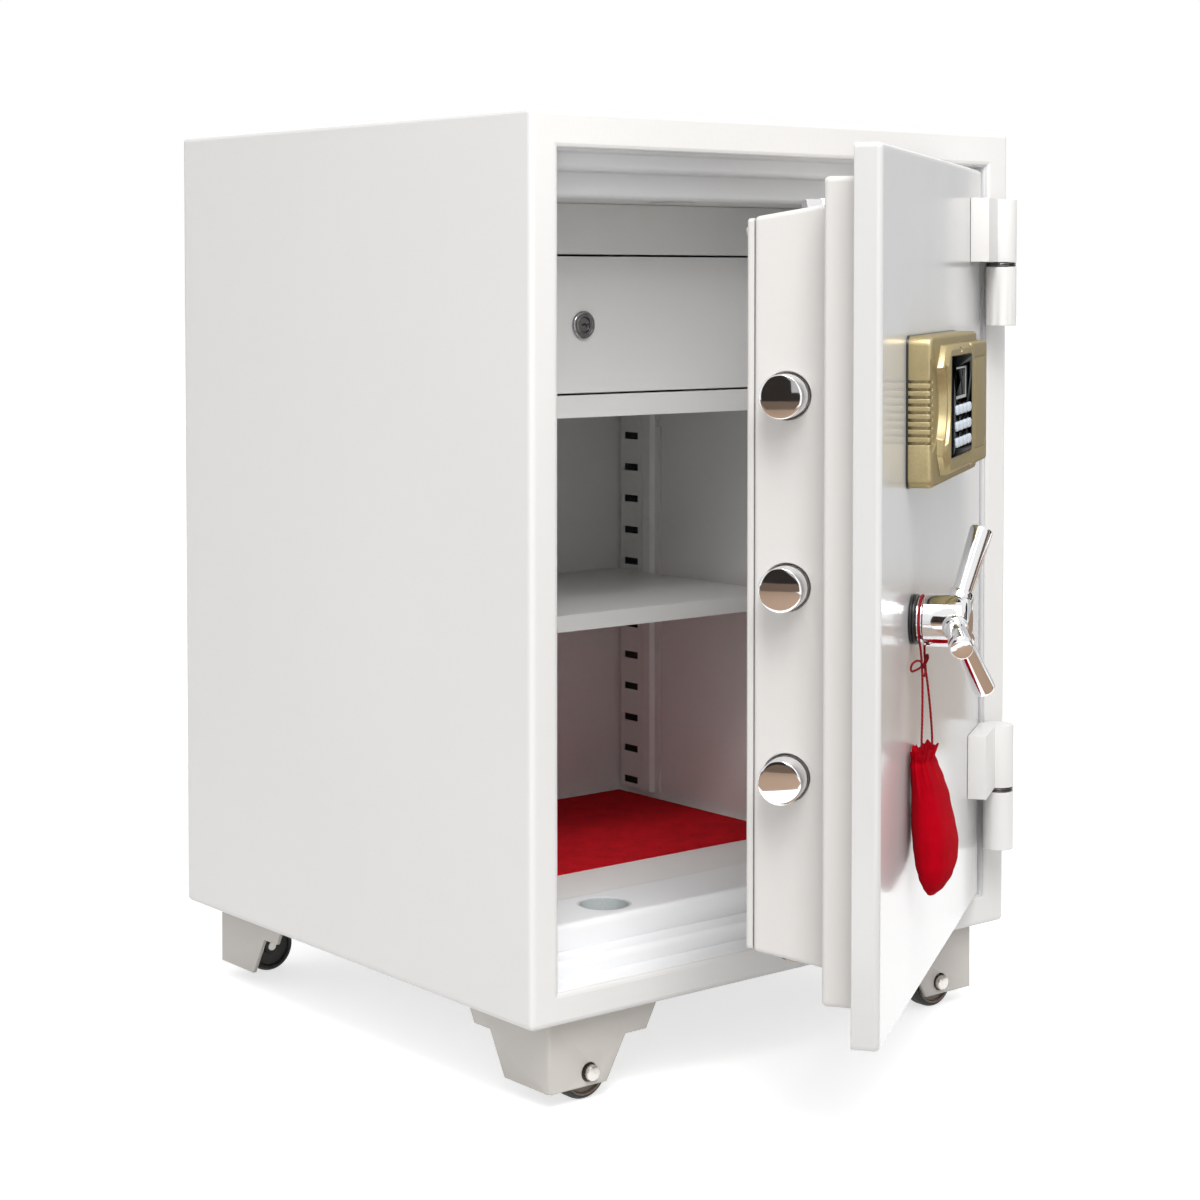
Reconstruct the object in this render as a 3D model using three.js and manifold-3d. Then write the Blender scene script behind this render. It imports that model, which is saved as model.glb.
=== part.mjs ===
// A fire-resistant home safe on four small wheels, with its door ajar on two outside hinges.
// Lengths are in millimetres. The cabinet is laid out from its front left bottom corner: x to the
// right, y into the safe, z up. The door is laid out shut, in the same axes, and then swung ajar.
import * as THREE from "three";
import { mergeVertices } from "three/addons/utils/BufferGeometryUtils.js";
import Module from "manifold-3d";

const wasm = await Module();
wasm.setup();

// Cabinet body
const BODY_W = 500;
const BODY_D = 492;
const BODY_H = 660;
const SHEET = 2;
const EDGE_R = 4;
const SEAT = 0.3; // clearance left between pieces that touch
const FOOT_LIFT = 66; // height of the body's underside above the floor

// Door opening and the stepped throat behind it
const STILE = 26;
const SILL = 25;
const HEAD = 29;
const DOOR_MID_Z = (SILL + BODY_H - HEAD) / 2;
const STEP_1_Y = 24;
const STEP_1_RISE = 13;
const STEP_2_Y = 46;
const STEP_2_RISE = 19.6;
const STEP_2_LOCK_RISE = 8;
const THROAT_Y = 106;
const THROAT_FILLET = 4.5;
const THROAT_CORNER = 0.3;

// Liner
const LINER_SIDE = 88; // from the body's side to the inside of the liner
const LINER_BACK = 92; // from the body's back to the inside of the liner

// Door
const DOOR_AJAR = 34;
const PLATE_GAP = 2.4;
const PLATE_HEAD_GAP = 3;
const PLATE_D = 19;
const SKIN_T = 3;
const PAN_INSET = 21.2;
const PAN_D = 24.5;
const BOX_INSET = 51;
const BOX_END_INSET = 38; // from the plate's top and bottom edges to the box's root
const BOX_TAPER = 9; // the box's top and bottom draw in by this towards the back
const BOX_D = 53.8;
const COVER_T = 5.2;
const DOOR_EDGE_R = 3.5;
const BOX_EDGE_R = 3;

// Hinges
const HINGE_OUT = 16; // hinge axis in front of the door's face
const BARREL_R = 12.6;
const PIN_R = 6;
const KNUCKLE_H = 48;
const COLLAR_H = 3.4;
const BLOCK_H = 51;
const BLOCK_REACH = 62;
const BLOCK_FRONT = 15;
const UPPER_HINGE_IN = 159.5; // foot of the upper knuckle below the body's top
const LOWER_HINGE_Z = 68;
const KNUCKLE_ARC = { from: 100, to: 360, steps: 18 }; // degrees round the hinge axis
const BLOCK_ARC = { from: 262, to: 430, steps: 14 };

// Bolts
const BOLT_R = 15.2;
const BOLT_LEN = 60;
const BOLT_HOLE_R = 16.9;
const RECEIVER_R = 17.8;
const END_RECEIVER_R = 20.5;
const END_RECEIVER_Y = 77.5;
const BOLT_Y = 74.5;
const BOLT_OUT = 22; // a side bolt's reach out of the box with the handle at rest
const END_BOLT_OUT = 7; // the end bolts' reach past the box's root
const THROW = 20; // further travel when the handle locks
const SIDE_BOLT_PITCH = 131;
const TOP_BOLT_X = 196;
const BOTTOM_BOLT_X = 130;
const GUIDE_T = 3;

// Handle and what it drives
const HANDLE_X = 148;
const HANDLE_Z = DOOR_MID_Z - 28;
const HANDLE_TURN = 60;
const ROSE_R = 17.5;
const ROSE_T = 4.7;
const HUB_R = 18.3;
const HUB_D = 41;
const ARM_TIP = 68;
const ARM_ROOT_R = 6.7;
const ARM_TIP_R = 8.3;
const ARM_ROOT_D = 29;
const ARM_TIP_D = 45;
const FIRST_ARM = 22.4; // degrees from straight up
const SPINDLE_R = 6;
const DISC_R = 26;
const DISC_Y = 52;
const DISC_T = 6;
const CRANK_R = 20;
const CRANK_PIN_R = 4;
const SLOT_PLAY = 0.4;
const LAYER_1_Y = 60;
const LAYER_2_Y = 66;
const BAR_T = 6;
const BAR_Y = 71;
const BAR_DEPTH = 16;

// Keypad
const PAD_X = 120;
const PAD_W = 210;
const PAD_Z = DOOR_MID_Z + 66;
const PAD_H = 105;
const PAD_D = 18;
const PAD_R = 6;
const PANEL_X = PAD_X + 21;
const PANEL_RISE = 7.5;
const PANEL_MARGIN = 7;
const PANEL_CUT = 17; // the panel's cut corners at its left end
const SCOOP_R = 34;
const SCOOP_OUT = 21; // centre of the scoop to the left of the panel
const SCOOP_RISE = 0.55; // its height as a share of the housing's
const RIB_COUNT = 9;
const RIB_PITCH = 5.3;
const RIB_H = 2.3;
const RIB_DEPTH = 1.6;
const WINDOW_X = PAD_X + 38;
const WINDOW_W = 92;
const WINDOW_Z = PAD_Z + 19;
const WINDOW_H = 71;
const WINDOW_PROUD = 0.8;
const WINDOW_T = 3.2;
const LENS_W = 51;
const LENS_H = 23;
const LENS_TOP = 8;
const KEY_W = 15;
const KEY_H = 7;
const KEY_PITCH_X = 17.5;
const KEY_PITCH_Z = 11.5;
const KEY_ROW_Z = WINDOW_Z + 9.8;
const KEY_PROUD = 1.2;
const KEY_TRAVEL = 1;
const BATTERY_X = PAD_X + 136;

// Pouch and cord
const POUCH_TOP = HANDLE_Z - 91;
const POUCH_H = 99;
const POUCH_W = 66;
const POUCH_T = 32;
const POUCH_OFF = 1; // from the door's face to the pouch's back
const CORD_R = 1.5;
const CORD_STEPS = 40;

// Feet and wheels
const FOOT_IN_X = 26;
const FOOT_IN_Y = 13;
const FOOT_T = 3;
const FOOT_H = 54;
const FOOT_SHOULDER = 22;
const FOOT_TOP_W = 104;
const FOOT_EAR_W = 92;
const FOOT_NECK_W = 72;
const FOOT_TOE_W = 54;
const AXLE_IN = 38;
const AXLE_R = 4;
const AXLE_HEAD_R = 5.6;
const WHEEL_R = 22;
const WHEEL_W = 18;
const WHEEL_SIDE = 1.6;

// Inside
const LOCKER_Y = 138;
const LOCKER_H = 169.4;
const LOCKER_RAIL = 17.8;
const LOCKER_TOP_RAIL = 40;
const LOCKER_LOCK_STILE = 31;
const LOCKER_HINGE_STILE = 8;
const LOCKER_GAP = 1.7;
const LOCKER_T = 12;
const LOCKER_PIN_OUT = 3.8;
const LOCKER_BARREL_R = 3.5;
const LOCKER_LEAF_IN = 24; // hinge leaf from the hatch's corners
const LOCKER_LEAF_H = 15;
const LOCK_IN = 36; // cam lock axis from the locker door's free edge
const LOCK_RING_R = 11;
const LOCK_BODY_R = 9;
const LOCK_PLUG_R = 6;
const CAM_REACH = 45;
const SHELF_TOP = 268;
const SHELF_T = 1.5;
const SHELF_LIP = 13.5;
const SHELF_Y = 168;
const SHELF_SIDE = 7;
const HOOK_W = 12;
const STANDARD_W = 55;
const STANDARD_FACE = 31;
const STANDARD_PROUD = 3;
const STANDARD_RIB = 5.5;
const STANDARD_FOOT = 6;
const STANDARD_TOP = 12;
const STANDARD_REAR_GAP = 4;
const STANDARD_FRONT_Y = 156;
const SLOT_COUNT = 12;
const SLOT_FOOT = 13.1; // middle of the lowest slot above the liner's floor
const SLOT_W = 20;
const SLOT_H = 6.5;
const SLOT_TOP = 24;
const CARPET_T = 2;
const CARPET_Y = 170;
const CARPET_IN = 1;

// Worked-out places
const OPEN_X0 = STILE;
const OPEN_X1 = BODY_W - STILE;
const OPEN_Z0 = SILL;
const OPEN_Z1 = BODY_H - HEAD;
const THROAT_X0 = OPEN_X0 + STEP_1_RISE + STEP_2_LOCK_RISE;
const THROAT_X1 = OPEN_X1 - STEP_1_RISE - STEP_2_RISE;
const THROAT_Z0 = OPEN_Z0 + STEP_1_RISE + STEP_2_RISE;
const THROAT_Z1 = OPEN_Z1 - STEP_1_RISE - STEP_2_RISE;
const LINER_X0 = LINER_SIDE;
const LINER_X1 = BODY_W - LINER_SIDE;
const LINER_Y0 = THROAT_Y + SHEET;
const LINER_Y1 = BODY_D - LINER_BACK;
const DOOR_X0 = OPEN_X0 + PLATE_GAP;
const DOOR_X1 = OPEN_X1 - PLATE_GAP;
const DOOR_Z0 = OPEN_Z0 + PLATE_HEAD_GAP;
const DOOR_Z1 = OPEN_Z1 - PLATE_HEAD_GAP;
const PAN_Y1 = PLATE_D + PAN_D;
const BOX_Y0 = PAN_Y1 + SEAT;
const BOX_Y1 = BOX_Y0 + BOX_D;
const BOX_X0 = DOOR_X0 + BOX_INSET;
const BOX_X1 = DOOR_X1 - BOX_INSET;
const BOX_Z0 = DOOR_Z0 + BOX_END_INSET;
const BOX_Z1 = DOOR_Z1 - BOX_END_INSET;
const HINGE_X = OPEN_X1;
const UPPER_HINGE_Z = BODY_H - UPPER_HINGE_IN;
const LOCKER_Z = THROAT_Z1 - LOCKER_H;

const LOOKS = {
  paint: { color: 0xe4e1dc, roughness: 0.45, metalness: 0 },
  doorPaint: { color: 0xd6d9da, roughness: 0.2, metalness: 0 },
  innerPaint: { color: 0xa9a8a3, roughness: 0.5, metalness: 0 },
  filling: { color: 0xb9b3a6, roughness: 0.95, metalness: 0 },
  steel: { color: 0xb8babd, roughness: 0.3, metalness: 1 },
  chrome: { color: 0xe6e8ea, roughness: 0.08, metalness: 1 },
  gold: { color: 0xb2a578, roughness: 0.4, metalness: 0.6 },
  black: { color: 0x111214, roughness: 0.25, metalness: 0 },
  glass: { color: 0x20281f, roughness: 0.08, metalness: 0 },
  key: { color: 0xa9b6c4, roughness: 0.5, metalness: 0 },
  tyre: { color: 0x17140f, roughness: 0.8, metalness: 0 },
  red: { color: 0xa80c1c, roughness: 0.9, metalness: 0 },
};

// A closed three.js geometry as a solid that can be joined and cut.
function solid(geometry) {
  const plain = geometry.index ? geometry.toNonIndexed() : geometry.clone();
  plain.deleteAttribute("normal");
  plain.deleteAttribute("uv");
  const merged = mergeVertices(plain, 1e-4);
  const corners = merged.index.array;
  const faces = [];
  for (let i = 0; i < corners.length; i += 3) {
    const [a, b, c] = [corners[i], corners[i + 1], corners[i + 2]];
    if (a !== b && b !== c && c !== a) faces.push(a, b, c);
  }
  const vertProperties = merged.attributes.position.array;
  return new wasm.Manifold(
    new wasm.Mesh({ numProp: 3, vertProperties, triVerts: new Uint32Array(faces) }),
  );
}

// Adds a named piece to a group.
function addPiece(group, name, shape, look) {
  const made = shape.getMesh();
  const geometry = new THREE.BufferGeometry();
  geometry.setAttribute("position", new THREE.BufferAttribute(made.vertProperties, 3));
  geometry.setIndex(new THREE.BufferAttribute(made.triVerts, 1));
  geometry.computeVertexNormals();
  const mesh = new THREE.Mesh(geometry, new THREE.MeshStandardMaterial(look));
  mesh.name = name;
  group.add(mesh);
  return mesh;
}

// A rectangular block between two corners.
function block(x0, x1, y0, y1, z0, z1) {
  const geometry = new THREE.BoxGeometry(x1 - x0, y1 - y0, z1 - z0);
  geometry.translate((x0 + x1) / 2, (y0 + y1) / 2, (z0 + z1) / 2);
  return solid(geometry);
}

// A solid of revolution about an axis through a point. The profile is a list of [radius, along].
function turned(profile, axis, at, segments) {
  const points = profile.map(([r, along]) => new THREE.Vector2(r, along));
  const geometry = new THREE.LatheGeometry(points, segments);
  if (axis === "x") geometry.rotateZ(-Math.PI / 2);
  if (axis === "z") geometry.rotateX(Math.PI / 2);
  geometry.translate(...at);
  return solid(geometry);
}

// A plain round rod along an axis.
function rod(radius, axis, from, to, at, segments = 24) {
  return turned([[0, from], [radius, from], [radius, to], [0, to]], axis, at, segments);
}

// An outline of [x, z] points given a thickness from y0 to y1.
function plateXZ(outline, y0, y1, holes = []) {
  const shape = new THREE.Shape(outline.map(([x, z]) => new THREE.Vector2(x, z)));
  for (const hole of holes) {
    shape.holes.push(new THREE.Path(hole.map(([x, z]) => new THREE.Vector2(x, z))));
  }
  const geometry = new THREE.ExtrudeGeometry(shape, { depth: y1 - y0, bevelEnabled: false });
  geometry.rotateX(Math.PI / 2);
  geometry.translate(0, y1, 0);
  return solid(geometry);
}

// An outline of [x, y] points given a height from z0 to z1.
function prismXY(outline, z0, z1) {
  const shape = new THREE.Shape(outline.map(([x, y]) => new THREE.Vector2(x, y)));
  const geometry = new THREE.ExtrudeGeometry(shape, { depth: z1 - z0, bevelEnabled: false });
  geometry.translate(0, 0, z0);
  return solid(geometry);
}

// Corner points of a rectangle in the x z plane, anticlockwise seen from the front.
function rectangle(x0, x1, z0, z1) {
  return [[x0, z0], [x1, z0], [x1, z1], [x0, z1]];
}

// A solid through a stack of rounded rectangles, each {y, x0, x1, z0, z1, r}, front to back.
const CORNER_STEPS = 3;
function stack(levels, cornerSteps = CORNER_STEPS) {
  const loops = levels.map(({ y, x0, x1, z0, z1, r }) => {
    const centres = [[x0 + r, z0 + r, 2], [x1 - r, z0 + r, 3], [x1 - r, z1 - r, 0], [x0 + r, z1 - r, 1]];
    const loop = [];
    for (const [cx, cz, quarter] of centres) {
      for (let i = 0; i <= cornerSteps; i += 1) {
        const turn = (Math.PI / 2) * (quarter + i / cornerSteps);
        loop.push([cx + r * Math.cos(turn), y, cz + r * Math.sin(turn)]);
      }
    }
    return loop;
  });
  const count = loops[0].length;
  const faces = [];
  const face = (a, b, c) => faces.push(...a, ...b, ...c);
  const front = loops[0];
  const back = loops[loops.length - 1];
  for (let i = 1; i < count - 1; i += 1) {
    face(front[0], front[i], front[i + 1]);
    face(back[0], back[i + 1], back[i]);
  }
  for (let k = 0; k < loops.length - 1; k += 1) {
    for (let i = 0; i < count; i += 1) {
      const j = (i + 1) % count;
      face(loops[k][i], loops[k + 1][i], loops[k][j]);
      face(loops[k][j], loops[k + 1][i], loops[k + 1][j]);
    }
  }
  const geometry = new THREE.BufferGeometry();
  geometry.setAttribute("position", new THREE.Float32BufferAttribute(faces, 3));
  return solid(geometry);
}

// One level of a stack: a rectangle drawn in on every side by inset.
function level(y, box, inset, r) {
  return { y, x0: box.x0 + inset, x1: box.x1 - inset, z0: box.z0 + inset, z1: box.z1 - inset, r };
}

// A plate whose front edges, or back edges, are rounded over.
const ROUND_STEPS = 3;
function roundedPlate(box, y0, y1, r, options = {}) {
  const { front = true, back = false, corner = r, steps = ROUND_STEPS } = options;
  const levels = [];
  const inner = Math.max(corner - r, 0) + 0.4;
  const cornerAt = (inset) => Math.max(corner - inset, inner);
  if (front) {
    for (let i = 0; i < steps; i += 1) {
      const turn = ((Math.PI / 2) * i) / steps;
      const inset = r * (1 - Math.sin(turn));
      levels.push(level(y0 + r * (1 - Math.cos(turn)), box, inset, cornerAt(inset)));
    }
    levels.push(level(y0 + r, box, 0, corner));
  } else {
    levels.push(level(y0, box, 0, corner));
  }
  if (back) {
    levels.push(level(y1 - r, box, 0, corner));
    for (let i = 1; i <= steps; i += 1) {
      const turn = ((Math.PI / 2) * i) / steps;
      const inset = r * (1 - Math.cos(turn));
      levels.push(level(y1 - r + r * Math.sin(turn), box, inset, cornerAt(inset)));
    }
  } else {
    levels.push(level(y1, box, 0, corner));
  }
  return stack(levels, steps);
}

// The groups: the cabinet's corner frame, and the door swung about its hinge axis.
const safe = new THREE.Group();
const cabinet = new THREE.Group();
cabinet.position.set(-BODY_W / 2, -BODY_D / 2, FOOT_LIFT);
safe.add(cabinet);
const swing = new THREE.Group();
swing.position.set(HINGE_X, -HINGE_OUT, 0);
swing.rotation.z = THREE.MathUtils.degToRad(DOOR_AJAR);
cabinet.add(swing);
const door = new THREE.Group();
door.position.set(-HINGE_X, HINGE_OUT, 0);
swing.add(door);

// The space of the throat: the opening and its two steps, with the folded edges rounded over.
// grow widens it all round and moves the steps back, to give the outside of the folded sheet.
function throat(grow, y0, y1) {
  const opening = { x0: OPEN_X0, x1: OPEN_X1, z0: OPEN_Z0, z1: OPEN_Z1 };
  const first = level(0, opening, STEP_1_RISE, 0);
  const second = { x0: THROAT_X0, x1: THROAT_X1, z0: THROAT_Z0, z1: THROAT_Z1 };
  const steps = [[opening, y0, 0], [first, STEP_1_Y, 1], [second, STEP_2_Y, 1]];
  const levels = [];
  steps.forEach(([box, y], k) => {
    const start = k === 0 ? y : y + grow;
    const fillet = grow ? 0 : THROAT_FILLET;
    const from = k === 0 && !grow ? 0 : start;
    if (k === 0 && !grow) levels.push(level(y0, box, -fillet, THROAT_CORNER));
    for (let i = 0; i <= (fillet ? ROUND_STEPS : 0); i += 1) {
      const turn = ((Math.PI / 2) * i) / ROUND_STEPS;
      const flare = fillet * (1 - Math.sin(turn));
      const sink = fillet * (1 - Math.cos(turn));
      levels.push(level(from + sink, box, -flare - grow, THROAT_CORNER));
    }
    const end = k < 2 ? steps[k + 1][1] + grow : y1;
    levels.push(level(end, box, -grow, THROAT_CORNER));
  });
  return stack(levels, 1);
}

const bodyBox = { x0: 0, x1: BODY_W, z0: 0, z1: BODY_H };
const throatSpace = throat(0, -1, THROAT_Y);
const sideBoltZ = [1, 0, -1].map((k) => DOOR_MID_Z + k * SIDE_BOLT_PITCH);

// The five bores that receive the bolts, each from just inside the throat outwards.
function receivers(wider, reach) {
  const bores = sideBoltZ.map((z) =>
    rod(RECEIVER_R + wider, "x", THROAT_X0 - reach, THROAT_X0 + 1, [0, BOLT_Y, z], 28),
  );
  for (const [x, from, to] of [
    [TOP_BOLT_X, THROAT_Z1 - 1, THROAT_Z1 + reach], [BOTTOM_BOLT_X, THROAT_Z0 - reach, THROAT_Z0 + 1],
  ]) {
    bores.push(rod(END_RECEIVER_R + wider, "z", from, to, [x, END_RECEIVER_Y, 0], 28));
  }
  return bores;
}
function cutAll(shape, tools) {
  return tools.reduce((left, tool) => left.subtract(tool), shape);
}

// Outer shell: one folded sheet with a flange round the door opening.
const hollow = level(0, bodyBox, SHEET, 0);
const shell = roundedPlate(bodyBox, 0, BODY_D, EDGE_R, { back: true })
  .subtract(roundedPlate(hollow, SHEET, BODY_D - SHEET, EDGE_R - SHEET, { back: true }))
  .subtract(throatSpace);
addPiece(cabinet, "cabinet_shell", shell, LOOKS.paint);

// Door frame: the stepped throat of folded sheet, and the flange that meets the liner.
const backFlange = block(
  THROAT_X0 - SHEET, THROAT_X1 + SHEET, THROAT_Y, LINER_Y0, THROAT_Z0 - SHEET, THROAT_Z1 + SHEET,
).subtract(block(LINER_X0, LINER_X1, THROAT_Y - 1, LINER_Y0 + 1, THROAT_Z0, THROAT_Z1));
const frameOutside = throat(SHEET, SHEET, THROAT_Y);
const frame = cutAll(
  frameOutside.subtract(throatSpace).add(backFlange),
  receivers(0, SHEET + 1),
);
addPiece(cabinet, "door_frame", frame, LOOKS.paint);

// Liner: a five-sided box of sheet behind the throat.
const liner = block(
  LINER_X0 - SHEET, LINER_X1 + SHEET, LINER_Y0, LINER_Y1 + SHEET, THROAT_Z0 - SHEET, THROAT_Z1 + SHEET,
).subtract(block(LINER_X0, LINER_X1, LINER_Y0 - 1, LINER_Y1, THROAT_Z0, THROAT_Z1));
addPiece(cabinet, "inner_liner", liner, LOOKS.innerPaint);

// Fire-resistant filling: everything between the shell, the frame and the liner.
const cast = SHEET + SEAT;
const linerRoom = block(
  LINER_X0 - cast, LINER_X1 + cast, THROAT_Y, LINER_Y1 + cast, THROAT_Z0 - cast, THROAT_Z1 + cast,
);
const filling = cutAll(
  roundedPlate(level(0, bodyBox, cast, 0), cast, BODY_D - cast, EDGE_R - SHEET, { back: true })
    .subtract(throat(cast, 0, THROAT_Y + cast))
    .subtract(linerRoom),
  receivers(1, THROW + SHEET),
);
addPiece(cabinet, "fire_filling", filling, LOOKS.filling);

// A corner foot, drawn with its corner at the origin: two folded plates, an inner cheek and the
// axle bolt that goes through them.
function footShape() {
  const side = [
    [0, 0], [0, -FOOT_H], [FOOT_TOE_W, -FOOT_H], [FOOT_NECK_W, -FOOT_SHOULDER],
    [FOOT_EAR_W, -FOOT_SHOULDER], [FOOT_TOP_W, 0],
  ];
  const frontPlate = plateXZ(side, 0, FOOT_T);
  const sideGeometry = new THREE.ExtrudeGeometry(
    new THREE.Shape(side.map(([x, z]) => new THREE.Vector2(x, z))),
    { depth: FOOT_T, bevelEnabled: false },
  );
  sideGeometry.rotateX(Math.PI / 2);
  sideGeometry.rotateZ(Math.PI / 2);
  const sidePlate = solid(sideGeometry);
  const cheekY = FOOT_T + WHEEL_W + 2 * WHEEL_SIDE;
  const cheek = block(0, FOOT_NECK_W, cheekY, cheekY + FOOT_T, -FOOT_H, 0);
  const axleZ = WHEEL_R - FOOT_LIFT;
  const axle = turned(
    [
      [0, -AXLE_R - 0.6], [AXLE_HEAD_R * 0.6, -AXLE_R], [AXLE_HEAD_R, -1.6], [AXLE_HEAD_R, 0.5],
      [AXLE_R, 0.5], [AXLE_R, cheekY + FOOT_T + 1], [AXLE_R * 1.6, cheekY + FOOT_T + 1],
      [AXLE_R * 1.6, cheekY + FOOT_T + 5], [0, cheekY + FOOT_T + 5],
    ],
    "y", [AXLE_IN, 0, axleZ], 16,
  );
  const boss = rod(AXLE_R * 1.6, "y", cheekY + FOOT_T - 1, cheekY + FOOT_T + 2, [AXLE_IN, 0, axleZ], 16);
  return frontPlate.add(sidePlate).add(cheek).add(axle).add(boss);
}

// A wheel: a dark tyre with a rounded tread on a lighter centre.
function wheelShape() {
  const bore = AXLE_R + SEAT;
  const y0 = FOOT_T + WHEEL_SIDE;
  const y1 = y0 + WHEEL_W;
  const hub = WHEEL_R * 0.62;
  const profile = [
    [bore, y0], [bore, y1], [hub, y1], [hub + 1, y1 - 1.2], [WHEEL_R - 3, y1 - 1], [WHEEL_R, y1 - 5],
    [WHEEL_R, y0 + 5], [WHEEL_R - 3, y0 + 1], [hub + 1, y0 + 1.2], [hub, y0], [bore, y0],
  ];
  return turned(profile.reverse(), "y", [AXLE_IN, 0, WHEEL_R - FOOT_LIFT], 24);
}

const foot = footShape();
const wheel = wheelShape();
for (const [where, right, rear] of [
  ["front_left", false, false], ["front_right", true, false],
  ["rear_left", false, true], ["rear_right", true, true],
]) {
  const corner = new THREE.Group();
  corner.position.x = right ? BODY_W - FOOT_IN_X : FOOT_IN_X;
  corner.position.y = rear ? BODY_D - FOOT_IN_Y : FOOT_IN_Y;
  corner.scale.set(right ? -1 : 1, rear ? -1 : 1, 1);
  cabinet.add(corner);
  addPiece(corner, `foot_${where}`, foot, LOOKS.paint);
  addPiece(corner, `wheel_${where}`, wheel, LOOKS.tyre);
}

// A slotted standard for the shelf, drawn on the left wall: it starts at y = 0 and runs forward
// to a rounded rib. The slots are cut through its flat face.
const standardTop = LOCKER_Z - STANDARD_TOP;
const slotPitch = (standardTop - SLOT_TOP - SLOT_FOOT - THROAT_Z0) / (SLOT_COUNT - 1);
function standardShape() {
  const face = STANDARD_PROUD;
  const rib = STANDARD_RIB;
  const t = SHEET * 0.75;
  const [a, b, c, d, e] = [STANDARD_FACE, STANDARD_FACE + 4, STANDARD_FACE + 14, STANDARD_W - 7, STANDARD_W];
  const profile = [
    [0, 0], [face, 0], [face, -a], [rib, -b], [rib, -c], [t, -d], [t, -e], [0, -e],
    [0, -d + 2], [rib - t, -c + 1], [rib - t, -b - 1], [face - t, -a - 0.6], [face - t, -t], [0, -t],
  ];
  const z0 = THROAT_Z0 + STANDARD_FOOT;
  const slots = [];
  for (let k = 0; k < SLOT_COUNT; k += 1) {
    const z = standardTop - SLOT_TOP - k * slotPitch;
    slots.push(block(-1, rib + 1, -5 - SLOT_W, -5, z - SLOT_H / 2, z + SLOT_H / 2));
  }
  const notch = block(-1, rib + 1, -STANDARD_W - 1, -STANDARD_W + 4, standardTop - 14, standardTop - 8);
  return cutAll(prismXY(profile.reverse(), z0, standardTop), [...slots, notch]);
}
const standard = standardShape();
for (const [name, right, y] of [
  ["standard_rear_left", false, LINER_Y1 - STANDARD_REAR_GAP],
  ["standard_rear_right", true, LINER_Y1 - STANDARD_REAR_GAP],
  ["standard_front_left", false, STANDARD_FRONT_Y + STANDARD_W],
  ["standard_front_right", true, STANDARD_FRONT_Y + STANDARD_W],
]) {
  const place = new THREE.Group();
  place.position.set(right ? LINER_X1 - SEAT : LINER_X0 + SEAT, y, 0);
  place.scale.x = right ? -1 : 1;
  cabinet.add(place);
  addPiece(place, name, standard, LOOKS.innerPaint);
}

// Shelf: a tray turned over, its edges bent down.
const shelf = block(
  LINER_X0 + SHELF_SIDE, LINER_X1 - SHELF_SIDE, SHELF_Y, LINER_Y1 - 2, SHELF_TOP - SHELF_LIP, SHELF_TOP,
).subtract(block(
  LINER_X0 + SHELF_SIDE + SHELF_T, LINER_X1 - SHELF_SIDE - SHELF_T, SHELF_Y + SHELF_T,
  LINER_Y1 - 2 - SHELF_T, SHELF_TOP - SHELF_LIP - 1, SHELF_TOP - SHELF_T,
));
// Four hooks hang from the shelf's end lips and reach into the next slots of the standards below.
const lipZ = SHELF_TOP - SHELF_LIP;
const hookSlot = Math.ceil((standardTop - SLOT_TOP - lipZ) / slotPitch);
const hookZ = standardTop - SLOT_TOP - hookSlot * slotPitch;
const hooks = [];
for (const y of [LINER_Y1 - STANDARD_REAR_GAP, STANDARD_FRONT_Y + STANDARD_W]) {
  const middle = y - 5 - SLOT_W / 2;
  const hook = [middle - HOOK_W / 2, middle + HOOK_W / 2, hookZ - SLOT_H / 2 + SEAT];
  for (const right of [false, true]) {
    const at = (inward) => (right ? LINER_X1 - inward : LINER_X0 + inward);
    const span = (a, b) => [Math.min(at(a), at(b)), Math.max(at(a), at(b))];
    hooks.push(block(...span(SHELF_SIDE, SHELF_SIDE + SHELF_T), ...hook, lipZ + 1));
    hooks.push(block(...span(STANDARD_PROUD - 1, SHELF_SIDE + SHELF_T), ...hook, hookZ));
  }
}
addPiece(cabinet, "shelf", hooks.reduce((all, hook) => all.add(hook), shelf), LOOKS.innerPaint);

// Carpet on the liner's floor.
addPiece(
  cabinet, "carpet",
  block(
    LINER_X0 + CARPET_IN, LINER_X1 - CARPET_IN, CARPET_Y, LINER_Y1 - CARPET_IN,
    THROAT_Z0 + 0.05, THROAT_Z0 + CARPET_T,
  ),
  LOOKS.red,
);

// Locker: a case hung under the ceiling, open at the front inside its rails and stiles.
const lockerX0 = LINER_X0 + SEAT;
const lockerX1 = LINER_X1 - SEAT;
const lockerTop = THROAT_Z1 - SEAT;
const hatchX0 = lockerX0 + LOCKER_LOCK_STILE;
const hatchX1 = lockerX1 - LOCKER_HINGE_STILE;
const hatchZ0 = LOCKER_Z + LOCKER_RAIL;
const hatchZ1 = lockerTop - LOCKER_TOP_RAIL;
const lockerPinX = hatchX1 - LOCKER_GAP / 2;
const lockerPinY = LOCKER_Y - LOCKER_PIN_OUT;
const leafZ0 = hatchZ0 + LOCKER_LEAF_IN;
const leafZ1 = hatchZ1 - LOCKER_LEAF_IN;
let locker = block(lockerX0, lockerX1, LOCKER_Y, LINER_Y1 - SEAT, LOCKER_Z, lockerTop)
  .subtract(block(
    lockerX0 + SHEET, lockerX1 - SHEET, LOCKER_Y + LOCKER_T, LINER_Y1 - SEAT - SHEET,
    LOCKER_Z + SHEET, lockerTop - SHEET,
  ))
  .subtract(block(hatchX0, hatchX1, LOCKER_Y - 1, LOCKER_Y + LOCKER_T + 1, hatchZ0, hatchZ1));
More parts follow.
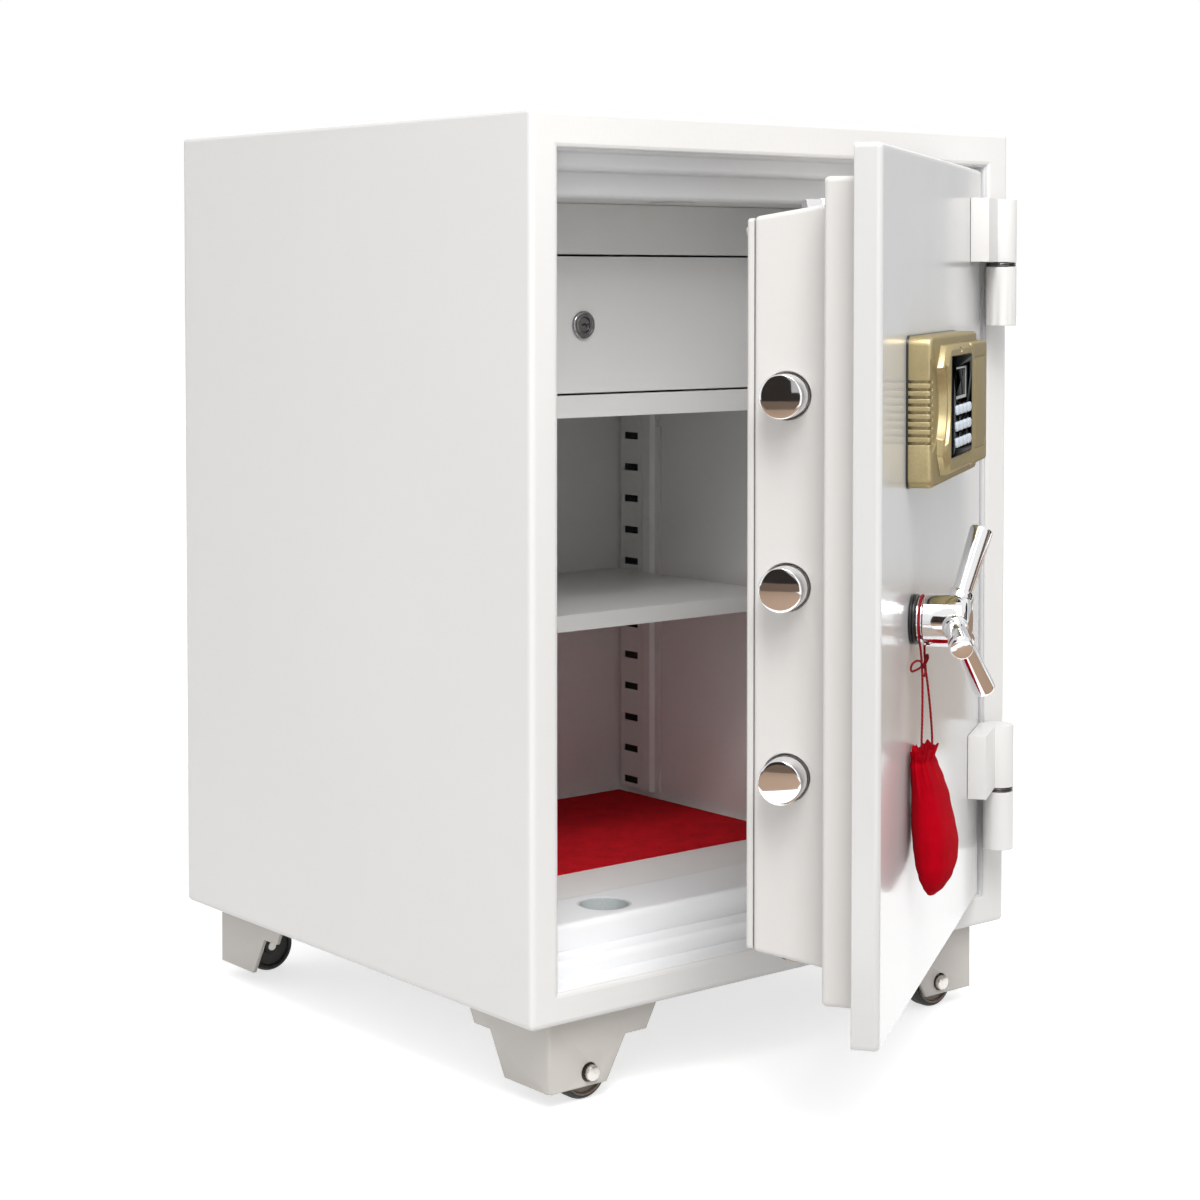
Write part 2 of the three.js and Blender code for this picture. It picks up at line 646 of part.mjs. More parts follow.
for (const z of [leafZ0 - LOCKER_LEAF_H, leafZ1]) {
  locker = locker
    .add(rod(LOCKER_BARREL_R, "z", z, z + LOCKER_LEAF_H - SEAT, [lockerPinX, lockerPinY, 0], 16))
    .add(block(lockerPinX + 1, lockerPinX + 6, lockerPinY - 1, LOCKER_Y + 1, z, z + LOCKER_LEAF_H - SEAT));
}
locker = locker.add(
  rod(LOCKER_BARREL_R / 2, "z", leafZ0 - 1, leafZ1 + 1, [lockerPinX, lockerPinY, 0], 12),
);
addPiece(cabinet, "locker_case", locker, LOOKS.innerPaint);

// Locker door, flush in its opening, with the middle knuckle of its hinge and the lock's hole.
const leaf = { x0: hatchX0 + LOCKER_GAP, x1: hatchX1 - LOCKER_GAP };
const lockX = leaf.x0 + LOCK_IN;
const lockZ = (hatchZ0 + hatchZ1) / 2;
const lockerDoor = block(
  leaf.x0, leaf.x1, LOCKER_Y, LOCKER_Y + LOCKER_T, hatchZ0 + LOCKER_GAP, hatchZ1 - LOCKER_GAP,
)
  .add(rod(LOCKER_BARREL_R, "z", leafZ0, leafZ1 - SEAT, [lockerPinX, lockerPinY, 0], 16))
  .add(block(lockerPinX - 4, lockerPinX - 1, lockerPinY, LOCKER_Y + 1, leafZ0, leafZ1 - SEAT))
  .subtract(rod(LOCKER_BARREL_R / 2 + SEAT, "z", leafZ0 - 1, leafZ1, [lockerPinX, lockerPinY, 0], 12))
  .subtract(rod(LOCK_BODY_R + SEAT, "y", LOCKER_Y - 1, LOCKER_Y + LOCKER_T + 1, [lockX, 0, lockZ], 24));
addPiece(cabinet, "locker_door", lockerDoor, LOOKS.innerPaint);

// Cam lock: a chrome barrel through the locker door, and the plug that carries the cam.
const barrelEnd = LOCKER_Y + LOCKER_T + 1.5;
const barrelBore = LOCK_PLUG_R + SEAT;
const barrelProfile = [
  [barrelBore, -3], [LOCK_RING_R - 1.2, -3], [LOCK_RING_R, -2], [LOCK_RING_R, -SEAT], [LOCK_BODY_R, -SEAT],
  [LOCK_BODY_R, barrelEnd - LOCKER_Y], [barrelBore, barrelEnd - LOCKER_Y], [barrelBore, -3],
];
addPiece(
  cabinet, "locker_lock_barrel",
  turned(barrelProfile, "y", [lockX, LOCKER_Y, lockZ], 24), LOOKS.chrome,
);
const cam = plateXZ(
  [
    [lockX - 7, lockZ - 8], [lockX + 7, lockZ - 8], [lockX + 7, lockZ + CAM_REACH - 3],
    [lockX + 4, lockZ + CAM_REACH], [lockX - 4, lockZ + CAM_REACH], [lockX - 7, lockZ + CAM_REACH - 3],
  ],
  barrelEnd + SEAT, barrelEnd + SEAT + 2.5,
);
const keyway = block(lockX - 0.8, lockX + 0.8, LOCKER_Y - 5, LOCKER_Y + 4, lockZ - 3.6, lockZ + 3.6);
const plug = rod(LOCK_PLUG_R, "y", LOCKER_Y - 2.6, barrelEnd + 1, [lockX, 0, lockZ], 24).add(cam).subtract(keyway);
addPiece(cabinet, "locker_lock_plug", plug, LOOKS.chrome);

// Hinges. On the cabinet: a knuckle with a foot on the frame, and the pin with its bearing collar.
// On the door: a block that reaches from the door's face out to the pin.
const barrelArc = ({ from, to, steps }) =>
  Array.from({ length: steps + 1 }, (_, i) => {
    const turn = THREE.MathUtils.degToRad(from + ((to - from) * i) / steps);
    return [HINGE_X + BARREL_R * Math.cos(turn), -HINGE_OUT + BARREL_R * Math.sin(turn)];
  });
const knuckleOutline = [
  ...barrelArc(KNUCKLE_ARC),
  [HINGE_X + BARREL_R, 0], [HINGE_X + 1.5, 0], [HINGE_X + 1.5, -HINGE_OUT + BARREL_R - 0.8],
];
const blockOutline = [
  ...barrelArc(BLOCK_ARC),
  [HINGE_X - 3, -SEAT], [HINGE_X - BLOCK_REACH, -SEAT],
  [HINGE_X - BLOCK_REACH, -BLOCK_FRONT + 4], [HINGE_X - BLOCK_REACH + 4, -BLOCK_FRONT],
];
for (const [where, z] of [["upper", UPPER_HINGE_Z], ["lower", LOWER_HINGE_Z]]) {
  const bore = rod(PIN_R + SEAT, "z", z + 4, z + KNUCKLE_H + 1, [HINGE_X, -HINGE_OUT, 0]);
  addPiece(
    cabinet, `hinge_knuckle_${where}`,
    prismXY(knuckleOutline, z, z + KNUCKLE_H).subtract(bore), LOOKS.paint,
  );
  const collar = z + KNUCKLE_H + SEAT;
  const blockZ = collar + COLLAR_H + SEAT;
  const pinProfile = [
    [0, z + 5], [PIN_R - 1, z + 5], [PIN_R, z + 6], [PIN_R, collar], [BARREL_R - 0.6, collar],
    [BARREL_R - 0.2, collar + 0.8], [BARREL_R - 0.2, collar + COLLAR_H - 0.8],
    [BARREL_R - 0.6, collar + COLLAR_H], [PIN_R, collar + COLLAR_H], [PIN_R, blockZ + BLOCK_H - 8],
    [0, blockZ + BLOCK_H - 7],
  ];
  addPiece(
    cabinet, `hinge_pin_${where}`,
    turned(pinProfile, "z", [HINGE_X, -HINGE_OUT, 0], 24), LOOKS.steel,
  );
  const socket = rod(PIN_R + SEAT, "z", blockZ - 1, blockZ + BLOCK_H - 6, [HINGE_X, -HINGE_OUT, 0]);
  addPiece(
    door, `hinge_block_${where}`,
    prismXY(blockOutline, blockZ, blockZ + BLOCK_H).subtract(socket), LOOKS.paint,
  );
}

// Door skin: a shallow tray with rounded front edges.
const spindleBore = (y0, y1) => rod(SPINDLE_R + 0.5, "y", y0, y1, [HANDLE_X, 0, HANDLE_Z], 20);
const plateBox = { x0: DOOR_X0, x1: DOOR_X1, z0: DOOR_Z0, z1: DOOR_Z1 };
const tray = level(0, plateBox, SHEET, 0);
const skin = roundedPlate(plateBox, 0, PLATE_D, DOOR_EDGE_R)
  .subtract(block(tray.x0, tray.x1, SKIN_T, PLATE_D + 1, tray.z0, tray.z1))
  .subtract(spindleBore(-1, SKIN_T + 1));
addPiece(door, "door_skin", skin, LOOKS.doorPaint);

// Door pan: a folded hat that closes the tray, its flange inside the tray's edge.
const flangeBox = level(0, tray, SEAT, 0);
const panBox = level(0, plateBox, PAN_INSET, 0);
const panRoom = level(0, panBox, SHEET, 0);
const pan = block(flangeBox.x0, flangeBox.x1, PLATE_D - SHEET, PLATE_D, flangeBox.z0, flangeBox.z1)
  .add(roundedPlate(panBox, PLATE_D - 1, PAN_Y1, DOOR_EDGE_R, { front: false, back: true }))
  .subtract(block(panRoom.x0, panRoom.x1, PLATE_D - SHEET - 1, PAN_Y1 - SHEET, panRoom.z0, panRoom.z1))
  .subtract(spindleBore(PLATE_D, PAN_Y1 + 1));
addPiece(door, "door_pan", pan, LOOKS.paint);

// Filling of the door, cast in the tray and the pan.
const castTray = level(0, tray, SEAT, 0);
const castPan = level(0, panRoom, SEAT, 0);
const doorFilling = block(
  castTray.x0, castTray.x1, SKIN_T + SEAT, PLATE_D - SHEET - SEAT, castTray.z0, castTray.z1,
)
  .add(block(castPan.x0, castPan.x1, PLATE_D - SHEET - 1, PAN_Y1 - SHEET - SEAT, castPan.z0, castPan.z1))
  .subtract(spindleBore(0, PAN_Y1));
addPiece(door, "door_filling", doorFilling, LOOKS.filling);

// Bolt box: a sheet box on the back of the pan, with holes for the bolts and guides behind them.
const boxBox = { x0: BOX_X0, x1: BOX_X1, z0: BOX_Z0, z1: BOX_Z1 };
const boxBack = { ...boxBox, z0: BOX_Z0 + BOX_TAPER, z1: BOX_Z1 - BOX_TAPER };
const boxMouth = level(0, boxBack, SHEET + 12, 0);
const boxLevel = (y, inset, r) => {
  const drawn = (BOX_TAPER * (y - BOX_Y0)) / BOX_D;
  return level(y, { ...boxBox, z0: BOX_Z0 + drawn, z1: BOX_Z1 - drawn }, inset, r);
};
const boxRound = Array.from({ length: ROUND_STEPS + 1 }, (_, i) => {
  const turn = ((Math.PI / 2) * i) / ROUND_STEPS;
  const inset = BOX_EDGE_R * (1 - Math.cos(turn));
  return boxLevel(BOX_Y1 - BOX_EDGE_R * (1 - Math.sin(turn)), inset, Math.max(BOX_EDGE_R - inset, 0.4));
});
const guideGap = 3;
const guideFrom = BOX_Y0 + 2;
const guideTo = BOX_Y1 - SHEET / 2;
const sideGuide = BOX_X0 + SHEET + guideGap;
const topGuide = boxBack.z1 - SHEET - guideGap;
const bottomGuide = boxBack.z0 + SHEET + guideGap;
const guideHalf = BOLT_R + 10;
const boltHoles = (radius, depth) => [
  ...sideBoltZ.map((z) => rod(radius, "x", BOX_X0 - 1, BOX_X0 + depth, [0, BOLT_Y, z], 28)),
  rod(radius, "z", boxBack.z1 - depth, BOX_Z1 + 1, [TOP_BOLT_X, BOLT_Y, 0], 28),
  rod(radius, "z", BOX_Z0 - 1, boxBack.z0 + depth, [BOTTOM_BOLT_X, BOLT_Y, 0], 28),
];
let boltBox = stack([boxLevel(BOX_Y0, 0, BOX_EDGE_R), ...boxRound], ROUND_STEPS)
  .subtract(stack([boxLevel(BOX_Y0 - 1, SHEET, 0.3), boxLevel(BOX_Y1 - SHEET, SHEET, 0.3)], 1))
  .subtract(block(boxMouth.x0, boxMouth.x1, BOX_Y1 - SHEET - 1, BOX_Y1 + 1, boxMouth.z0, boxMouth.z1));
boltBox = cutAll(boltBox, boltHoles(BOLT_HOLE_R, SHEET + 1));
const guides = block(
  sideGuide, sideGuide + GUIDE_T, guideFrom, guideTo,
  sideBoltZ[2] - guideHalf, sideBoltZ[0] + guideHalf,
)
  .add(block(TOP_BOLT_X - guideHalf, TOP_BOLT_X + guideHalf, guideFrom, guideTo, topGuide - GUIDE_T, topGuide))
  .add(block(
    BOTTOM_BOLT_X - guideHalf, BOTTOM_BOLT_X + guideHalf, guideFrom, guideTo,
    bottomGuide, bottomGuide + GUIDE_T,
  ));
boltBox = boltBox.add(cutAll(guides, boltHoles(BOLT_R + SEAT, 20)));
addPiece(door, "bolt_box", boltBox, LOOKS.paint);

// Back cover: a thin plate screwed over the box, with a small stud near its top.
const coverBox = level(0, boxBack, 1, 0);
const cover = roundedPlate(coverBox, BOX_Y1 + SEAT, BOX_Y1 + SEAT + COVER_T, 2.4, { front: false, back: true })
  .add(rod(3, "y", BOX_Y1 + COVER_T - 1, BOX_Y1 + COVER_T + 2.2, [BOX_X0 + 10, 0, boxBack.z1 - 10], 12));
addPiece(door, "bolt_box_cover", cover, LOOKS.paint);

// The disc's three crank pins, at rest half the handle's turn before their middle place. The one
// at the top drives the side bolts, the one at the right the top bolt, the left one the bottom bolt.
const half = HANDLE_TURN / 2;
const crank = (mid) => {
  const turn = THREE.MathUtils.degToRad(mid - half);
  return [HANDLE_X + CRANK_R * Math.cos(turn), HANDLE_Z + CRANK_R * Math.sin(turn)];
};
const sidePin = crank(90);
const topPin = crank(0);
const bottomPin = crank(180);
const pinReach = LAYER_2_Y + 4;
const crankPin = ([x, z], to) => rod(CRANK_PIN_R, "y", DISC_Y + 1, to, [x, 0, z], 16);
const spindle = rod(SPINDLE_R, "y", -12, DISC_Y + 1, [HANDLE_X, 0, HANDLE_Z], 20)
  .add(rod(DISC_R, "y", DISC_Y, DISC_Y + DISC_T, [HANDLE_X, 0, HANDLE_Z], 36))
  .add(crankPin(sidePin, LAYER_1_Y + 5))
  .add(crankPin(topPin, pinReach))
  .add(crankPin(bottomPin, pinReach));
addPiece(door, "handle_spindle", spindle, LOOKS.steel);

// A slot for a crank pin, lengthened across the bolt's travel by what the pin rises or falls.
const rise = CRANK_R * (1 - Math.cos(THREE.MathUtils.degToRad(half)));
const slotHalf = CRANK_PIN_R + SLOT_PLAY;
const PAD_WALL = 5;

// Side bolts on their bar, with the arm whose upright slot takes the disc's top pin.
const boltBack = BOX_X0 - BOLT_OUT + BOLT_LEN;
const barX0 = boltBack + SEAT;
const barX1 = barX0 + BAR_T;
const barZ0 = sideBoltZ[2] - BOLT_R - 3;
const barZ1 = sideBoltZ[0] + BOLT_R + 3;
const armZ0 = sidePin[1] + rise + slotHalf + 4;
const armZ1 = armZ0 + 12;
const sideSlot = rectangle(
  sidePin[0] - slotHalf, sidePin[0] + slotHalf, sidePin[1] - slotHalf, sidePin[1] + rise + slotHalf,
);
const arm = plateXZ(
  [
    [barX0, armZ0], [sidePin[0] - slotHalf - PAD_WALL, armZ0],
    [sidePin[0] - slotHalf - PAD_WALL, sidePin[1] - slotHalf - 4],
    [sidePin[0] + slotHalf + PAD_WALL, sidePin[1] - slotHalf - 4],
    [sidePin[0] + slotHalf + PAD_WALL, armZ1], [barX0, armZ1],
  ],
  LAYER_1_Y, LAYER_1_Y + 4, [sideSlot],
);
const bar = block(barX0, barX1, BAR_Y, BAR_Y + BAR_DEPTH, barZ0, barZ1)
  .add(block(barX0, barX1, LAYER_1_Y, BAR_Y + 1, armZ0, armZ1))
  .add(arm);
addPiece(door, "bolt_bar", bar, LOOKS.steel);

// A bolt's turned profile from its rounded tip, along its own length.
const boltProfile = [
  [0, 0], [BOLT_R - 2, 0], [BOLT_R - 0.6, 0.6], [BOLT_R, 2], [BOLT_R, BOLT_LEN], [0, BOLT_LEN],
];
sideBoltZ.forEach((z, i) => {
  const name = `side_bolt_${["upper", "middle", "lower"][i]}`;
  addPiece(door, name, turned(boltProfile, "x", [BOX_X0 - BOLT_OUT, BOLT_Y, z], 28), LOOKS.steel);
});

// Top and bottom bolts, each with a flat rod from the disc's pin in the second layer.
const rodHalf = 7;
const topTip = BOX_Z1 + END_BOLT_OUT;
const bottomTip = BOX_Z0 - END_BOLT_OUT;
const topPad = {
  x0: topPin[0] - slotHalf - PAD_WALL, x1: topPin[0] + rise + slotHalf + PAD_WALL,
  z0: topPin[1] - slotHalf - 4, z1: topPin[1] + slotHalf + 4,
};
const jog = (topPad.z1 + topTip - BOLT_LEN) / 2;
const topRod = plateXZ(
  [
    [topPad.x0, topPad.z0], [topPad.x1, topPad.z0], [topPad.x1, jog],
    [TOP_BOLT_X + rodHalf, jog + 32], [TOP_BOLT_X + rodHalf, topTip - BOLT_LEN + 12],
    [TOP_BOLT_X - rodHalf, topTip - BOLT_LEN + 12], [TOP_BOLT_X - rodHalf, jog + 22], [topPad.x0 + 4, jog - 12],
    [topPad.x0 + 4, topPad.z1], [topPad.x0, topPad.z1],
  ],
  LAYER_2_Y, LAYER_2_Y + 3,
  [rectangle(
    topPin[0] - slotHalf, topPin[0] + rise + slotHalf, topPin[1] - slotHalf, topPin[1] + slotHalf,
  )],
);
const upBolt = turned(boltProfile.map(([r, along]) => [r, -along]).reverse(), "z", [TOP_BOLT_X, BOLT_Y, topTip], 28);
addPiece(door, "top_bolt", upBolt.add(topRod), LOOKS.steel);
const bottomPad = {
  x0: bottomPin[0] - rise - slotHalf - PAD_WALL + 1, x1: bottomPin[0] + slotHalf + PAD_WALL,
  z0: bottomPin[1] - slotHalf - 4, z1: bottomPin[1] + slotHalf + 4,
};
const bottomRod = plateXZ(
  [
    [BOTTOM_BOLT_X - rodHalf, bottomTip + BOLT_LEN - 12], [BOTTOM_BOLT_X + rodHalf, bottomTip + BOLT_LEN - 12],
    [BOTTOM_BOLT_X + rodHalf, bottomPad.z1], [bottomPad.x0, bottomPad.z1], [bottomPad.x0, bottomPad.z0],
    [BOTTOM_BOLT_X - rodHalf, bottomPad.z0],
  ],
  LAYER_2_Y, LAYER_2_Y + 3,
  [rectangle(
    bottomPin[0] - rise - slotHalf, bottomPin[0] + slotHalf, bottomPin[1] - slotHalf, bottomPin[1] + slotHalf,
  )],
);
const downBolt = turned(boltProfile, "z", [BOTTOM_BOLT_X, BOLT_Y, bottomTip], 28);
addPiece(door, "bottom_bolt", downBolt.add(bottomRod), LOOKS.steel);

// Black ring on the door's face under the handle.
const roseProfile = [
  [SPINDLE_R + 0.5, -SEAT - ROSE_T], [ROSE_R - 1.5, -SEAT - ROSE_T], [ROSE_R, -SEAT - ROSE_T + 1.2],
  [ROSE_R, -SEAT], [SPINDLE_R + 0.5, -SEAT], [SPINDLE_R + 0.5, -SEAT - ROSE_T],
];
addPiece(door, "handle_rose", turned(roseProfile, "y", [HANDLE_X, 0, HANDLE_Z], 32), LOOKS.black);

// Handle: a domed hub and three arms that flare towards their tips and lean forward.
const hubBack = -ROSE_T - 2 * SEAT;
const hubProfile = [
  [0, -HUB_D], [HUB_R * 0.5, -HUB_D + 0.5], [HUB_R * 0.82, -HUB_D + 2.4], [HUB_R * 0.96, -HUB_D + 5],
  [HUB_R, -HUB_D + 9], [HUB_R, hubBack - 0.8], [HUB_R - 0.8, hubBack], [0, hubBack],
];
let handle = turned(hubProfile, "y", [HANDLE_X, 0, HANDLE_Z], 36);
const armLength = Math.hypot(ARM_TIP, ARM_TIP_D - ARM_ROOT_D);
const armLean = Math.atan2(ARM_TIP_D - ARM_ROOT_D, ARM_TIP);
for (let k = 0; k < 3; k += 1) {
  const points = [[0, 4], [ARM_ROOT_R, 4], [ARM_TIP_R, armLength - 1.4], [ARM_TIP_R - 1.4, armLength], [0, armLength]];
  const geometry = new THREE.LatheGeometry(points.map(([r, a]) => new THREE.Vector2(r, a)), 16);
  geometry.rotateX(Math.PI / 2);
  geometry.rotateX(armLean);
  geometry.rotateY(THREE.MathUtils.degToRad(FIRST_ARM + 120 * k));
  geometry.translate(HANDLE_X, -ARM_ROOT_D, HANDLE_Z);
  handle = handle.add(solid(geometry));
}
handle = handle.subtract(rod(SPINDLE_R + SEAT, "y", -12 - SEAT, 0, [HANDLE_X, 0, HANDLE_Z], 20));
addPiece(door, "handle", handle, LOOKS.chrome);

// Keypad housing: a base with grip ribs on its left side and a raised panel with sloped ends.
const panelY = -PAD_D - PANEL_RISE;
const padBox = { x0: PAD_X, x1: PAD_X + PAD_W, z0: PAD_Z, z1: PAD_Z + PAD_H };
const panelBox = {
  x0: PANEL_X, x1: BATTERY_X - SEAT, z0: PAD_Z + PANEL_MARGIN, z1: PAD_Z + PAD_H - PANEL_MARGIN,
};
const windowBox = { x0: WINDOW_X, x1: WINDOW_X + WINDOW_W, z0: WINDOW_Z, z1: WINDOW_Z + WINDOW_H };
const panelCut = (z, up) => plateXZ(
  [
    [PANEL_X - 1, z - up * (PANEL_CUT + 1)], [PANEL_X + PANEL_CUT + 1, z + up], [PANEL_X - 1, z + up],
  ],
  panelY - 1, -PAD_D,
);
const panel = stack([
  { ...panelBox, y: panelY, x0: panelBox.x0 + 6, z0: panelBox.z0 + 4, z1: panelBox.z1 - 4, r: 3 },
  { ...panelBox, y: panelY + 1.5, x0: panelBox.x0 + 3.5, z0: panelBox.z0 + 2.5, z1: panelBox.z1 - 2.5, r: 3 },
  { ...panelBox, y: -PAD_D + 1, r: 3 },
])
  .subtract(panelCut(panelBox.z1, 1))
  .subtract(panelCut(panelBox.z0, -1));
const windowRoom = level(0, windowBox, -SEAT, 0);
const windowBack = panelY - WINDOW_PROUD + WINDOW_T + SEAT;
const keyX = (k) => WINDOW_X + WINDOW_W / 2 + (k - 1.5) * KEY_PITCH_X;
const keyWell = block(
  keyX(0) - KEY_W / 2 - 2, keyX(3) + KEY_W / 2 + 2, windowBack - 1, windowBack + 5,
  KEY_ROW_Z - KEY_H / 2 - 2, KEY_ROW_Z + 2 * KEY_PITCH_Z + KEY_H / 2 + 2,
);
const grooves = [];
for (let k = 0; k < RIB_COUNT; k += 1) {
  const z = PAD_Z + PAD_H / 2 + (k - (RIB_COUNT - 1) / 2) * RIB_PITCH;
  const outline = [
    [PAD_X - 1, -PAD_D - 1], [PAD_X + 9, -PAD_D - 1], [PAD_X + 9, -PAD_D + RIB_DEPTH],
    [PAD_X + RIB_DEPTH + 1, -PAD_D + RIB_DEPTH], [PAD_X + RIB_DEPTH, -PAD_D + RIB_DEPTH + 1],
    [PAD_X + RIB_DEPTH, -4], [PAD_X - 1, -4],
  ];
  grooves.push(prismXY(outline, z - RIB_H / 2, z + RIB_H / 2));
}
const scoopAt = [PANEL_X - SCOOP_OUT, 0, PAD_Z + SCOOP_RISE * PAD_H];
const scoop = rod(SCOOP_R, "y", panelY - 1, -PAD_D - 2, scoopAt, 40);
const housing = cutAll(
  roundedPlate(padBox, -PAD_D, -SEAT, 3, { corner: PAD_R }).add(panel),
  [
    block(windowRoom.x0, windowRoom.x1, panelY - 1, windowBack, windowRoom.z0, windowRoom.z1),
    keyWell, scoop, ...grooves,
  ],
);
addPiece(door, "keypad_housing", housing, LOOKS.gold);

// Black window of the keypad, with the openings for the display and the keys.
const lensBox = {
  x0: WINDOW_X + WINDOW_W / 2 - LENS_W / 2 - 4.5, x1: WINDOW_X + WINDOW_W / 2 + LENS_W / 2 - 4.5,
  z0: WINDOW_Z + WINDOW_H - LENS_TOP - LENS_H, z1: WINDOW_Z + WINDOW_H - LENS_TOP,
};
const faceY = panelY - WINDOW_PROUD;
const keyPlaces = [];
for (let row = 0; row < 3; row += 1) {
  for (let column = 0; column < 4; column += 1) {
    keyPlaces.push([keyX(column), KEY_ROW_Z + (2 - row) * KEY_PITCH_Z]);
  }
}
const lensRoom = level(0, lensBox, -SEAT, 0);
const face = cutAll(
  roundedPlate(windowBox, faceY, faceY + WINDOW_T, 1.2, { corner: 3 })
    .subtract(block(lensRoom.x0, lensRoom.x1, faceY - 1, faceY + WINDOW_T + 1, lensRoom.z0, lensRoom.z1)),
  keyPlaces.map(([x, z]) => block(
    x - KEY_W / 2 - SEAT, x + KEY_W / 2 + SEAT, faceY - 1, faceY + WINDOW_T + 1,
    z - KEY_H / 2 - SEAT, z + KEY_H / 2 + SEAT,
  )),
);
addPiece(door, "keypad_window", face, LOOKS.black);
addPiece(
  door, "display_lens",
  roundedPlate(lensBox, faceY + 0.5, faceY + WINDOW_T - SEAT / 2, 0.6, { corner: 1 }), LOOKS.glass,
);
keyPlaces.forEach(([x, z], i) => {
  const box = { x0: x - KEY_W / 2, x1: x + KEY_W / 2, z0: z - KEY_H / 2, z1: z + KEY_H / 2 };
  const back = faceY + WINDOW_T + 5 - 2 * KEY_TRAVEL - 1;
  addPiece(
    door, `key_${String(i + 1).padStart(2, "0")}`,
    roundedPlate(box, faceY - KEY_PROUD, back, 1, { corner: 2, steps: 2 }), LOOKS.key,
  );
});

// Battery cover at the right end of the panel, which slides off sideways.
const batteryBox = { x0: BATTERY_X, x1: PAD_X + PAD_W, z0: panelBox.z0, z1: panelBox.z1 };
const batteryCover = stack([
  level(panelY, batteryBox, 2, 2), level(panelY + 1, batteryBox, 0.6, 3), level(panelY + 2.6, batteryBox, 0, 3.5),
  level(-PAD_D - SEAT, batteryBox, 0, 3.5),
]).subtract(block(BATTERY_X + 9, BATTERY_X + 10.2, panelY - 1, panelY + 0.8, batteryBox.z0 + 12, batteryBox.z1 - 12));
addPiece(door, "battery_cover", batteryCover, LOOKS.gold);

// Key pouch: a soft drawstring bag that widens from its gathered mouth and is full towards its
// bottom, which hangs clear of the door. Each level is [share of the height from the top, share of
// the width, share of the thickness, shift to the right, distance off the door].
const POUCH_LEVELS = [
  [0, 0.66, 0.5, -1, 0], [0.07, 0.62, 0.45, -1, 0], [0.15, 0.68, 0.55, -0.5, 0], [0.36, 0.85, 0.78, 1, 0],
  [0.55, 0.95, 0.93, 2, 0], [0.68, 0.98, 0.97, 2.4, 0.6], [0.8, 0.93, 0.88, 1.6, 2.6],
  [0.9, 0.74, 0.62, -0.6, 6.5], [0.97, 0.46, 0.34, -3, 10.5], [1, 0.24, 0.14, -4, 12.5],
];
const POUCH_SIDES = 20;
function pouchShape() {
  const rings = POUCH_LEVELS.map(([down, wide, thick, shift, off]) => {
    const ring = [];
    for (let i = 0; i < POUCH_SIDES; i += 1) {
      const turn = (2 * Math.PI * i) / POUCH_SIDES;
      ring.push([
        HANDLE_X + shift + (POUCH_W / 2) * wide * Math.cos(turn),
        -POUCH_OFF - off - (POUCH_T / 2) * thick * (1 - Math.sin(turn)),
        POUCH_TOP - POUCH_H * down,
      ]);
    }
    return ring;
  });
  const faces = [];
  const middle = (ring) => [0, 1, 2].map((axis) => ring.reduce((sum, p) => sum + p[axis], 0) / ring.length);
  const [top, bottom] = [rings[0], rings[rings.length - 1]];
  for (let i = 0; i < POUCH_SIDES; i += 1) {
    const j = (i + 1) % POUCH_SIDES;
    faces.push(...middle(top), ...top[i], ...top[j], ...middle(bottom), ...bottom[j], ...bottom[i]);
    for (let k = 0; k < rings.length - 1; k += 1) {
      faces.push(...rings[k][i], ...rings[k + 1][i], ...rings[k][j]);
      faces.push(...rings[k][j], ...rings[k + 1][i], ...rings[k + 1][j]);
    }
  }
  const geometry = new THREE.BufferGeometry();
  geometry.setAttribute("position", new THREE.Float32BufferAttribute(faces, 3));
  return solid(geometry);
}
addPiece(door, "key_pouch", pouchShape(), LOOKS.red);

// Cord: up from the pouch's mouth, round the hub close to the black ring, and down again. Each
// point is [right of the handle's axis, y, above the handle's axis].
const CORD_POINTS = [
  [-5, -8, -90.5], [-4.8, -8, -84], [-4, -8.3, -68], [-3.4, -8.3, -50], [-3.8, -8, -34],
  [-8.5, -7.6, -21], [-16.5, -7.5, -12.4], [-20.4, -7.5, 0], [-17.8, -7.5, 10.4],
  [-10.4, -7.5, 17.6], [0, -7.5, 20.4], [10.4, -7.5, 17.6], [17.8, -7.5, 10.4], [20.4, -7.5, 0],
  [16.5, -7.6, -12.4], [8.5, -7.9, -21], [4.2, -9, -34], [4.4, -11, -50], [5.6, -12.6, -68],
  [7, -13.4, -84], [7, -13.4, -90.5],
];
const cordPath = new THREE.CatmullRomCurve3(
  CORD_POINTS.map(([x, y, z]) => new THREE.Vector3(HANDLE_X + x, y, HANDLE_Z + z)),
);
const cordSection = new THREE.Shape(
  Array.from({ length: 8 }, (_, i) => {
    const turn = (2 * Math.PI * i) / 8;
    return new THREE.Vector2(CORD_R * Math.cos(turn), CORD_R * Math.sin(turn));
  }),
);
addPiece(
  door, "pouch_cord",
  solid(new THREE.ExtrudeGeometry(cordSection, { steps: CORD_STEPS, extrudePath: cordPath })), LOOKS.red,
);

export default safe;
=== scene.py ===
import math

import bmesh
import bpy
from mathutils import Matrix, Vector, noise


